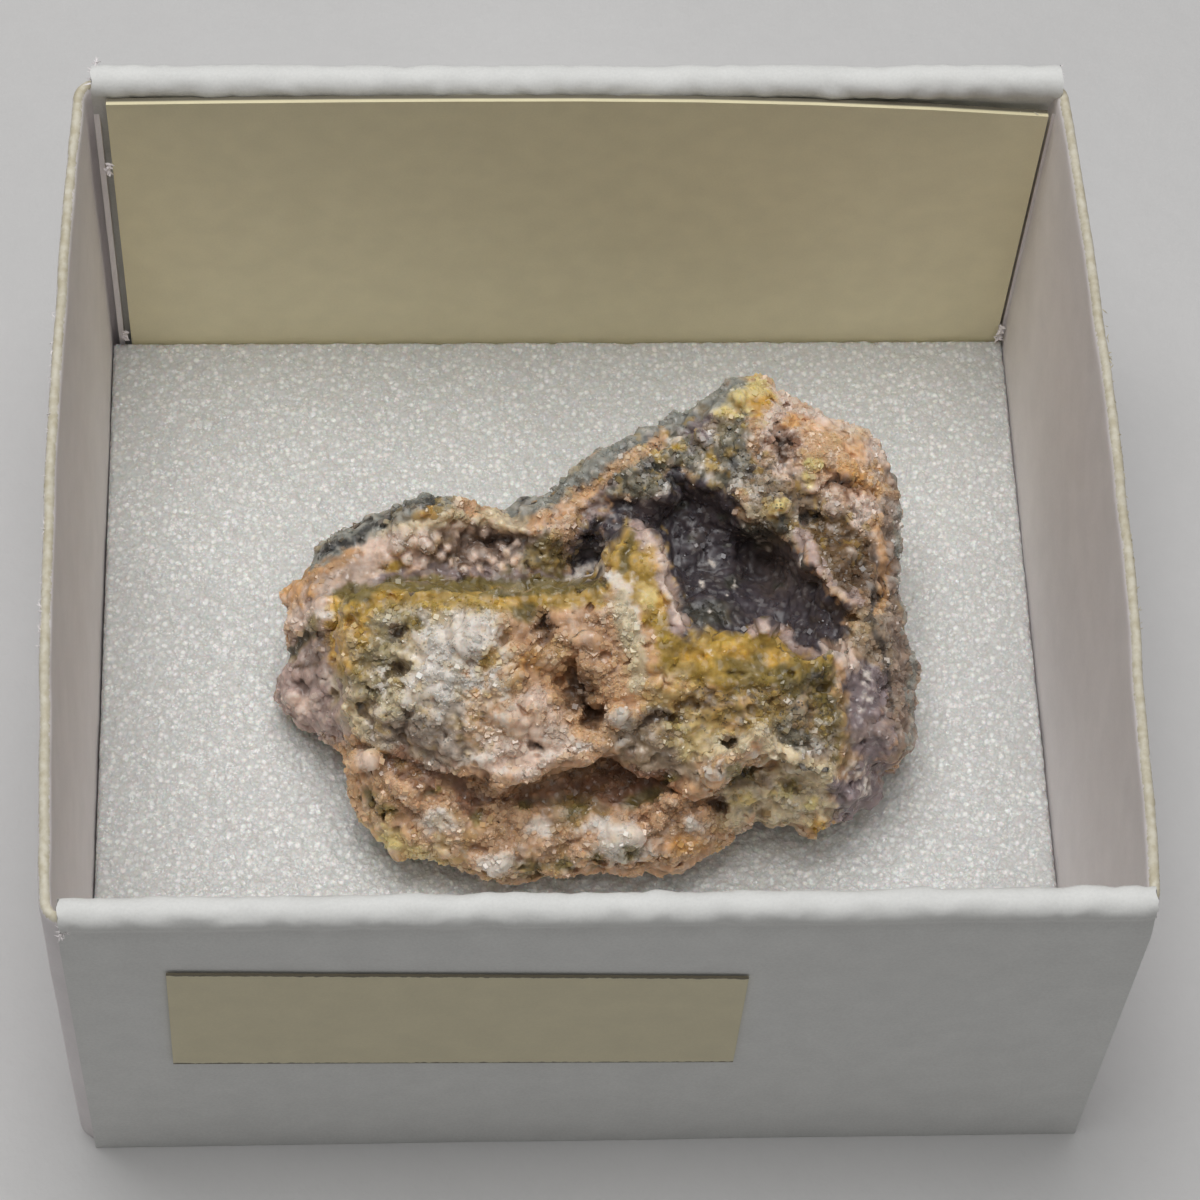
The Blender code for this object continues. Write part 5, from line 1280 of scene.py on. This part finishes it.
def make_crystals(stone_mesh):
    """A druse of small flat-faced crystals in the colours of the crust."""
    points, normals = read_points(stone_mesh), read_normals(stone_mesh)
    colours = read_colours(stone_mesh, "paint")
    pink = smooth_step(1.25, 1.6, colours[:, 0] / np.maximum(colours[:, 1], 0.01))
    pink *= smooth_step(0.12, 0.3, colours[:, 2])
    chance = (BARE_SHARE + pink) * (1 - 0.8 * read_value(stone_mesh, "hollow"))
    chance *= smooth_step(0.0, 0.3, normals @ SIGHT_OUT)
    chance *= smooth_step(-0.4, 0.3, noise(points / 1.4 + 9))
    chance *= 1 - 0.9 * covered(SMOOTH_AREAS + ROUND_AREAS[:2], *sight_place(points), 0.2)
    random = np.random.default_rng(NOISE_SEED)
    chosen = random.choice(len(points), CRYSTALS, replace=False, p=chance / chance.sum())
    low, high = CRYSTAL_SIZES
    sizes = low + (high - low) * random.random(CRYSTALS) ** CRYSTAL_RARITY
    axes = unit(normals[chosen] + CRYSTAL_TILT * unit(random.normal(size=(CRYSTALS, 3))))
    middles = points[chosen] - CRYSTAL_SINK * sizes[:, None] * normals[chosen]
    spins = random.random(CRYSTALS) * math.tau
    mesh = crystal_mesh(middles, axes, sizes, spins)
    shade = 0.98 + 0.22 * random.random(CRYSTALS)[:, None]
    tones = within_limit(colours[chosen] * shade)
    store_colour(mesh, "paint", np.repeat(tones, 8, axis=0))
    place_piece(mesh, "smithsonite_druse", crystal_material(), smooth=False)


def place_piece(mesh, name, material, smooth=True):
    """Put a mesh into the scene as a piece that rides with the object."""
    piece = bpy.data.objects.new(name, mesh)
    bpy.context.scene.collection.objects.link(piece)
    mesh.materials.clear()
    mesh.materials.append(material)
    if smooth:
        mesh.shade_smooth()
    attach(piece, "root")
    return piece


def finished(form):
    """The mesh of a form that is then done with."""
    mesh = bpy.data.meshes.new("form")
    form.to_mesh(mesh)
    form.free()
    return mesh


def make_stone():
    """The stone in fine detail, in place of its faceted solid."""
    form = bmesh.new()
    bmesh.ops.create_icosphere(form, subdivisions=STONE_SUBDIVISIONS, radius=1)
    ball = finished(form)
    write_points(ball, stone_points(read_points(ball) * MM))
    mesh = evenly_meshed(ball, FINE_VOXEL)
    broken = smooth_form(mesh)
    weather(mesh, broken)
    store_value(mesh, "broken", broken)
    mesh = thinned(mesh, FINE_TRIANGLES)
    paint_stone(mesh)
    stone = place_piece(mesh, "smithsonite_stone", stone_material())
    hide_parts("smithsonite")
    return stone


def sheet_finish(m, base, grain, grain_mm, unevenness, roughness):
    """Give a matt sheet its uneven tone and a fine relief, both after its grain."""
    tone = m.ramp(grain, 0.3, 0.7, 1 - unevenness, 1 + unevenness)
    tone = m.math("MULTIPLY", tone, m.ramp(m.noise(grain_mm * 14), 0.3, 0.7, 0.97, 1.03))
    m.set(Base_Color=m.shaded(base, tone), Roughness=roughness)
    m.set(Normal=m.bump(grain, 0.25, grain_mm * 0.25))
    return m.material


def plain_surface(name, colour, roughness, grain_mm, unevenness, edge=None, edge_above=None):
    """A matt surface with fine fibre or grain, and another colour on its upper edge."""
    m = Nodes(name)
    grain = m.noise(grain_mm, 4, 0.6)
    base = full(colour)
    if edge:
        ragged_mm = m.ramp(grain, 0.3, 0.7, -0.06 * MM, 0.06 * MM)
        height = m.math("ADD", m.split("XYZ", m.place)["Z"], ragged_mm)
        above = m.ramp(height, (edge_above - 0.03) * MM, (edge_above + 0.03) * MM)
        blotch = m.ramp(m.noise(0.35, 3), 0.35, 0.65)
        base = m.mix(above, base, m.mix(blotch, full(edge), full(EDGE_STAIN)))
    return sheet_finish(m, base, grain, grain_mm, unevenness, roughness)


# Foam pad
FOAM_GRID = 0.14
FOAM_CELL = 0.38
FOAM_CELL_RISE = 0.16
FOAM_WAVES = ((3.4, 0.05), (0.9, 0.04))
FOAM_EDGE = 0.2
FOAM_SPREAD = np.array((0.24, 0.0)), np.array((0.12, 0.08))
FOAM_WHITE = (226, 226, 223)
# Cap on the foam's tone, painted glints included
FOAM_BRIGHTEST = 1.26


def foam_material():
    """White foam skin of small cells, with painted glints and sparkles in its colour and glossy cells
    that catch the light.
    """
    m = Nodes("white_foam_cells")
    gap = m.cells(0.21)
    chance = m.split("Color", m.cells(0.3, "Color"))
    # Painted glints and sparkles: bright spots put into the foam's colour
    painted_glint = m.math("MULTIPLY", m.ramp(chance[0], 0.1, 0.7, 0.0, 0.34),
                   m.ramp(m.cells(0.3), 0.22, 0.5, 1, 0))
    fine = m.math("MULTIPLY", m.ramp(m.cells(0.17), 0.12, 0.34, 0.3, 0),
                  m.ramp(m.noise(0.5, 2), 0.36, 0.56))
    tone = m.math("ADD", m.ramp(gap, 0.1, 0.5, 0.93, 0.83), m.math("ADD", painted_glint, fine))
    tone = m.math("MINIMUM", tone, FOAM_BRIGHTEST)
    tone = m.math("MULTIPLY", tone, m.ramp(m.noise(5, 2), 0.35, 0.65, 0.98, 1.02))
    normal = m.bump(m.cells(0.1), 0.5, 0.03, m.bump(gap, 0.6, 0.09))
    m.set(Base_Color=m.shaded(full(FOAM_WHITE), tone), Normal=normal)
    m.set(Roughness=m.ramp(chance[1], 0.3, 0.8, 0.42, 0.1))
    m.set(Specular_IOR_Level=0.5, Subsurface_Weight=0.2, Subsurface_Scale=0.0006)
    return m.material


def sheet_form(steps):
    """A closed sheet of one unit, with its grid at a height of 0 and its underside at -1."""
    form = bmesh.new()
    bmesh.ops.create_grid(form, x_segments=int(steps[0]), y_segments=int(steps[1]), size=0.5)
    rim = [edge for edge in form.edges if edge.is_boundary]
    for item in bmesh.ops.extrude_edge_only(form, edges=rim)["geom"]:
        if isinstance(item, bmesh.types.BMVert):
            item.co.z = -1
    bmesh.ops.contextual_create(form, geom=[e for e in form.edges if e.is_boundary])
    return finished(form)


def make_foam():
    """The foam pad with its skin of small round cells."""
    low, high = (np.array(corner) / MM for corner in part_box("foam_pad"))
    low[:2] -= FOAM_SPREAD[0]
    high[:2] += FOAM_SPREAD[1]
    size = high - low
    mesh = sheet_form((size[:2] / FOAM_GRID).astype(int))
    points = read_points(mesh) * MM
    under = points[:, 2] < -0.5
    points[:, :2] = (points[:, :2] + 0.5) * size[:2] + low[:2]
    inside = np.minimum(points[:, :2] - low[:2], high[:2] - points[:, :2]).min(axis=1)
    fall = 1 - np.clip(inside / FOAM_EDGE, 0, 1)
    top = high[2] - FOAM_EDGE * (1 - np.sqrt(1 - fall ** 2))
    flat = np.column_stack((points[:, :2], np.zeros(len(points))))
    dips = FOAM_CELL_RISE * (1 - grain_bumps(flat, FOAM_CELL))
    dips += np.abs(layered_noise(flat, FOAM_WAVES))
    points[:, 2] = np.where(under, low[2], top - dips)
    write_points(mesh, points)
    foam = place_piece(mesh, "foam_cushion", foam_material())
    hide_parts("foam_pad")


# Card box: the ring of thin side walls, and the rolled walls at the front and back
WALL_SIZE = (21.3, 19.85)
WALL_TOP = 21.3
WALL_BOW = 0.53
CARD_THICKNESS = 0.5
FLOOR_THICKNESS = 0.6
CORNER_RADIUS = 1.0
ROLL_ENDS = (-20.55, 21.0)
ROLL_TOP = 22.0
ROLLS = ((-20.2, 0.64, 1.08), (20.35, 0.72, 1.27))
BOX_STEP = 0.22
FLOOR_SIZE = (20.8, 19.4)
TAB_PLACES = (-20.35, 20.78)
TAB_THICKNESS = 0.24
TAB_DEPTHS = (18.6, 19.2)
TAB_TOP = 20.3
TAB_DROP = 1.5
WALL_ROWS = (0, 4, 8, 12, 15.5, 18, 19.5, 20.4, 20.9)
CARD_WHITE = (248, 242, 242)
ROLL_WHITE = (232, 232, 229)
CARD_EDGE = (222, 216, 198)
EDGE_STAIN = (200, 191, 166)
CARD_ROUGHNESS = 0.75
CARD_GRAIN = 0.12
RAW_ABOVE = 21.13

# Sections of the walls: how far in from the outer face, and the height
RAW_EDGE = ((0.03, 21.12), (0.1, 21.25), (0.22, 21.3), (0.34, 21.28), (0.45, 21.16))
ROLL_NECK = ((0.1, 20.3), (0.16, 20.75))
ROLL_BACK = 1.2
ROLL_TURN = (215, -35)

# Unevenness of the card, as (size, height) waves
WALL_WAVES = ((9, 0.1), (3, 0.05))
RAW_EDGE_WAVES = ((1.6, 0.08), (0.3, 0.05))
ROLL_SAG = ((7, 0.14), (2.2, 0.1))
ROLL_DENTS = ((2.4, 0.12), (0.9, 0.09), (0.35, 0.03))


def loft(rings, closed):
    """A mesh through rings of points, joined end to end or capped at both ends."""
    count, around = rings.shape[:2]
    faces = []
    for ring in range(count if closed else count - 1):
        start, after = ring * around, (ring + 1) % count * around
        for step in range(around):
            ahead = (step + 1) % around
            faces.append((start + step, start + ahead, after + ahead, after + step))
    if not closed:
        faces.append(tuple(range(around))[::-1])
        faces.append(tuple(range((count - 1) * around, count * around)))
    return new_mesh(rings, faces)


def wall_route():
    """Places and outward directions round the ring of side walls."""
    half_x, half_y = WALL_SIZE
    places, outward = [], []
    for turn in range(4):
        middle = math.pi / 2 * turn + math.pi / 4
        corner = np.array((math.copysign(half_x - CORNER_RADIUS, math.cos(middle)),
                           math.copysign(half_y - CORNER_RADIUS, math.sin(middle))))
        for angle in np.linspace(middle - math.pi / 4, middle + math.pi / 4, 7):
            direction = np.array((math.cos(angle), math.sin(angle)))
            places.append(corner + CORNER_RADIUS * direction)
            outward.append(direction)
    full_places, full_outward = [], []
    for index, place in enumerate(places):
        after = (index + 1) % len(places)
        cuts = max(1, int(np.linalg.norm(places[after] - place) / BOX_STEP))
        for share in np.arange(cuts) / cuts:
            full_places.append(place + share * (places[after] - place))
            full_outward.append(outward[index] + share * (outward[after] - outward[index]))
    return np.array(full_places), unit(np.array(full_outward))


def wall_ring():
    """The ring of thin bowed side walls with its soft raw edge."""
    places, outward = wall_route()
    profile = [(0, z) for z in WALL_ROWS] + list(RAW_EDGE)
    profile += [(CARD_THICKNESS, z) for z in WALL_ROWS[::-1]]
    rings = np.empty((len(places), len(profile), 3))
    along = np.cos(math.pi / 2 * np.clip(np.abs(places[:, 1]) / WALL_SIZE[1], 0, 1))
    for index, (inset, z) in enumerate(profile):
        rings[:, index, :2] = places - inset * outward
        rings[:, index, 0] += np.sign(places[:, 0]) * WALL_BOW * along * z / WALL_TOP
        rings[:, index, 2] = z
    points = rings.reshape(-1, 3)
    inward = np.repeat(-outward, len(profile), axis=0)
    points[:, :2] += inward * np.abs(layered_noise(points, WALL_WAVES))[:, None]
    raw = smooth_step(20.95, 21.2, points[:, 2])
    points[:, 2] -= raw * np.abs(layered_noise(points, RAW_EDGE_WAVES))
    return loft(rings, True)


def roll_profile(radius, under):
    """Section of a double wall: up its outer face, round the roll and down its inner face."""
    centre_z = ROLL_TOP - radius
    profile = [(0.0, z) for z in WALL_ROWS[:-2]] + list(ROLL_NECK)
    for angle in np.linspace(*np.radians(ROLL_TURN), 15):
        profile.append((radius * (1 + math.cos(angle)), centre_z + radius * math.sin(angle)))
    profile += [(under, 20.6), (1.15, 20.0)] + [(ROLL_BACK, z) for z in WALL_ROWS[-4::-1]]
    return np.array(profile)


def roll_wall(outer_y, radius, under):
    """A double wall whose top is rolled over in a soft, slightly wavy bead."""
    inward = -math.copysign(1, outer_y)
    profile = roll_profile(radius, under)
    length = ROLL_ENDS[1] - ROLL_ENDS[0]
    stations = np.linspace(*ROLL_ENDS, int(length / BOX_STEP))
    rings = np.empty((len(stations), len(profile), 3))
    rings[:, :, 0] = stations[:, None]
    rings[:, :, 1] = outer_y + inward * profile[:, 0]
    rings[:, :, 2] = profile[:, 1]
    points = rings.reshape(-1, 3)
    bead = smooth_step(20.2, 21.2, points[:, 2])
    points[:, 2] -= bead * np.abs(layered_noise(points * (1, 0, 0) + outer_y, ROLL_SAG))
    dent = np.abs(layered_noise(points, ROLL_DENTS))
    points[:, 1] += inward * bead * dent + inward * 0.03 * np.abs(noise(points / 8))
    end = smooth_step(0.985, 1, np.abs(points[:, 0] - np.mean(ROLL_ENDS)) / length * 2)
    crumpled = np.abs(0.2 * noise(points / 0.35 + 3))
    points[:, 0] -= np.sign(points[:, 0]) * end * bead * crumpled
    return loft(rings, False)


def slab(low, high, drop=0.0):
    """A box between two corners, as a loft, whose top falls to the back."""
    section = ((low[1], low[2]), (high[1], low[2]), (high[1], high[2] - drop), (low[1], high[2]))
    ends = [[(x, y, z) for y, z in section] for x in (low[0], high[0])]
    return loft(np.array(ends), False)


def joined(meshes):
    """Several meshes as one."""
    form = bmesh.new()
    for mesh in meshes:
        form.from_mesh(mesh)
    bmesh.ops.recalc_face_normals(form, faces=form.faces)
    return finished(form)


def corner_tab(side):
    """A narrow folded tab that stands at one end of the name card."""
    left, right = side - TAB_THICKNESS / 2, side + TAB_THICKNESS / 2
    front, back = TAB_DEPTHS
    return slab((left, front, FLOOR_THICKNESS), (right, back, TAB_TOP), TAB_DROP)


def make_card_box():
    """The small card box with rolled front and back walls and raw side edges."""
    white = plain_surface("white_card_stock", ROLL_WHITE, CARD_ROUGHNESS, CARD_GRAIN, 0.045)
    raw = plain_surface("raw_edged_card_stock", CARD_WHITE, CARD_ROUGHNESS, CARD_GRAIN, 0.03,
                        CARD_EDGE, RAW_ABOVE)
    half_x, half_y = FLOOR_SIZE
    floor = slab((-half_x, -half_y, 0.0), (half_x, half_y, FLOOR_THICKNESS))
    tabs = [corner_tab(side) for side in TAB_PLACES]
    ring = place_piece(joined([wall_ring(), floor, *tabs]), "card_side_walls", raw)
    rolls = joined([roll_wall(*roll) for roll in ROLLS])
    rolls = place_piece(rolls, "card_rolled_walls", white)
    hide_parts("card_box")
    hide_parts("card_box")
    for piece in (ring, rolls):
        piece.data.set_sharp_from_angle(angle=math.radians(50))


# Torn paper fibres: from and to, how many, half width, stretch and colour
FIBRES = (
    ((-21.72, -8, 21.2), (-21.72, 8, 21.2), 50, 0.012, 6, CARD_WHITE),
    ((21.72, -8, 21.2), (21.72, 8, 21.2), 40, 0.012, 6, EDGE_STAIN),
    ((-20.5, 19.2, 21.6), (-20.3, 20.2, 21.9), 26, 0.018, 9, CARD_WHITE),
    ((-20.5, -20.1, 20.6), (-20.3, -19.9, 21.2), 22, 0.018, 8, CARD_WHITE),
    ((20.9, 19.4, 21.6), (20.95, 20.2, 21.8), 10, 0.015, 8, CARD_WHITE),
    ((-19.8, 18.6, 20.95), (20.4, 18.6, 20.3), 50, 0.012, 5, CARD_EDGE),
    ((-20.1, 18.3, 16.4), (-20.0, 18.4, 17.0), 12, 0.04, 3, CARD_WHITE),
    ((-20.2, 18.2, 3.5), (-20.1, 18.3, 4.2), 12, 0.04, 3, CARD_WHITE),
    ((20.5, 18.2, 3.4), (20.6, 18.3, 4.6), 14, 0.04, 3, CARD_WHITE),
)


def make_fibres():
    """Small torn fibres along the raw card edges."""
    random = np.random.default_rng(NOISE_SEED + 1)
    meshes = []
    for start, end, count, width, stretch, colour in FIBRES:
        share = random.random(count)[:, None]
        middles = np.array(start) + share * (np.array(end) - start)
        axes = unit(random.normal(size=(count, 3)) * (1, 1, 0.6))
        sizes = width * (0.5 + random.random(count))
        mesh = crystal_mesh(middles, axes, sizes, random.random(count) * math.tau, stretch)
        store_colour(mesh, "paint", np.tile(linear(colour), (len(mesh.vertices), 1)))
        meshes.append(mesh)
    m = Nodes("torn_paper_fibre")
    m.set(Base_Color=m.attribute("paint", "Color"), Roughness=0.8)
    place_piece(joined(meshes), "paper_fibres", m.material, smooth=False)


# Cut top of the name card: where the shade of its edge changes, and how far the change runs
CARD_TOP_CHANGE = (18.62, 18.7)

# Cut edges of the front label: height at the middle of the box, slope and which side is in
LABEL_LINES = ((8.685, -0.0253, 1), (16.981, -0.0419, -1))

# Sheets of card and paper: colour, colour of the cut edges, and that of their far half, which on the
# name card is painted shade
CARD_COLOURS = ((250, 240, 202), (232, 222, 184), (104, 98, 82))
LABEL_COLOURS = ((228, 218, 184), (116, 108, 88), (116, 108, 88))


def card_edges(m, place):
    """0.5 on the front half of the name card's cut top, and 1 on the shaded half behind it."""
    first, last = CARD_TOP_CHANGE
    return m.math("MULTIPLY", m.facing_up(), m.ramp(place["Y"], first * MM, last * MM, 0.5))


def label_edges(m, place):
    """1 along the cut upper and lower edges of the front label, in ragged lines."""
    ragged_mm = m.ramp(m.noise(0.3, 3), 0.3, 0.7, -0.05 * MM, 0.05 * MM)
    height = m.math("ADD", place["Z"], ragged_mm)
    lines = []
    for middle, slope, side in LABEL_LINES:
        level = m.math("ADD", m.math("MULTIPLY", place["X"], -slope), height)
        lines.append(m.ramp(level, (middle + side * 0.1) * MM, (middle + side * 0.03) * MM))
    return m.math("MAXIMUM", *lines)


def cut_sheet(name, colours, mask):
    """A smooth sheet whose cut edges have their own shade."""
    m = Nodes(name)
    colour, edge, far_edge = map(full, colours)
    place = m.split("XYZ", m.add("ShaderNodeNewGeometry").outputs["Position"])
    share = mask(m, place)
    # On the name card the rear half of the cut top gets a dark colour as painted shade
    cut = m.mix(m.ramp(share, 0.5, 1), edge, far_edge)
    base = m.mix(m.ramp(share, 0, 0.5), colour, cut)
    return sheet_finish(m, base, m.noise(0.1, 4, 0.6), 0.1, 0.025, 0.6)


def dress_frame_nodes():
    """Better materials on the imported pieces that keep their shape."""
    looks = {
        "name_card": cut_sheet("beige_card_stock", CARD_COLOURS, card_edges),
        "front_label": cut_sheet("beige_label_stock", LABEL_COLOURS, label_edges),
    }
    for name, material in looks.items():
        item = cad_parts[name]
        item.data.materials.clear()
        item.data.materials.append(material)


def make_camera():
    """Camera above and in front of the box, looking down into it."""
    camera = bpy.data.objects.new("camera", bpy.data.cameras.new("camera"))
    bpy.context.scene.collection.objects.link(camera)
    camera.data.lens = CAMERA_LENS
    camera.data.sensor_width = CAMERA_SENSOR
    camera.data.clip_start = 0.01
    turn = Matrix([SIGHT_RIGHT, SIGHT_UP, SIGHT_OUT]).transposed().to_4x4()
    camera.matrix_world = Matrix.Translation(Vector(CAMERA_PLACE) * MM) @ turn
    bpy.context.scene.camera = camera


# Lights: name, place and target in metres, size and watts
LIGHTS = (
    ("key", (-0.03, 0.05, 0.30), (0.002, 0.0, 0.006), 0.2, 0.53),
    ("top", (0.02, -0.05, 0.36), (0.0, 0.0, 0.0), 0.28, 0.33),
)
ROOM_LIGHT = (0.06, 0.06, 0.061, 1)
FLOOR_WHITE = (214, 213, 212)
FLOOR_DROP = 0.00002


def make_light(name, place, target, size, watts):
    """A square soft light aimed at a point."""
    light = bpy.data.objects.new(name, bpy.data.lights.new(name, "AREA"))
    bpy.context.scene.collection.objects.link(light)
    light.data.size = size
    light.data.energy = watts
    light.location = place
    light.rotation_euler = (Vector(target) - Vector(place)).to_track_quat("-Z", "Y").to_euler()


def make_studio():
    """Pale floor, soft lights above the back and above the front, and dim light all round."""
    form = bmesh.new()
    bmesh.ops.create_grid(form, x_segments=1, y_segments=1, size=1.5)
    mesh = finished(form)
    mesh.materials.append(plain_surface("pale_floor", FLOOR_WHITE, 0.8, 1.5, 0.01))
    floor = bpy.data.objects.new("floor", mesh)
    bpy.context.scene.collection.objects.link(floor)
    floor.location.z = -FLOOR_DROP
    for light in LIGHTS:
        make_light(*light)
    world = bpy.data.worlds.new("studio")
    world.use_nodes = True
    world.node_tree.nodes["Background"].inputs[0].default_value = ROOM_LIGHT
    bpy.context.scene.world = world


bpy.context.scene.view_settings.view_transform = "Standard"
make_camera()
make_studio()
dress_frame_nodes()
make_card_box()
make_fibres()
make_foam()
make_crystals(make_stone().data)
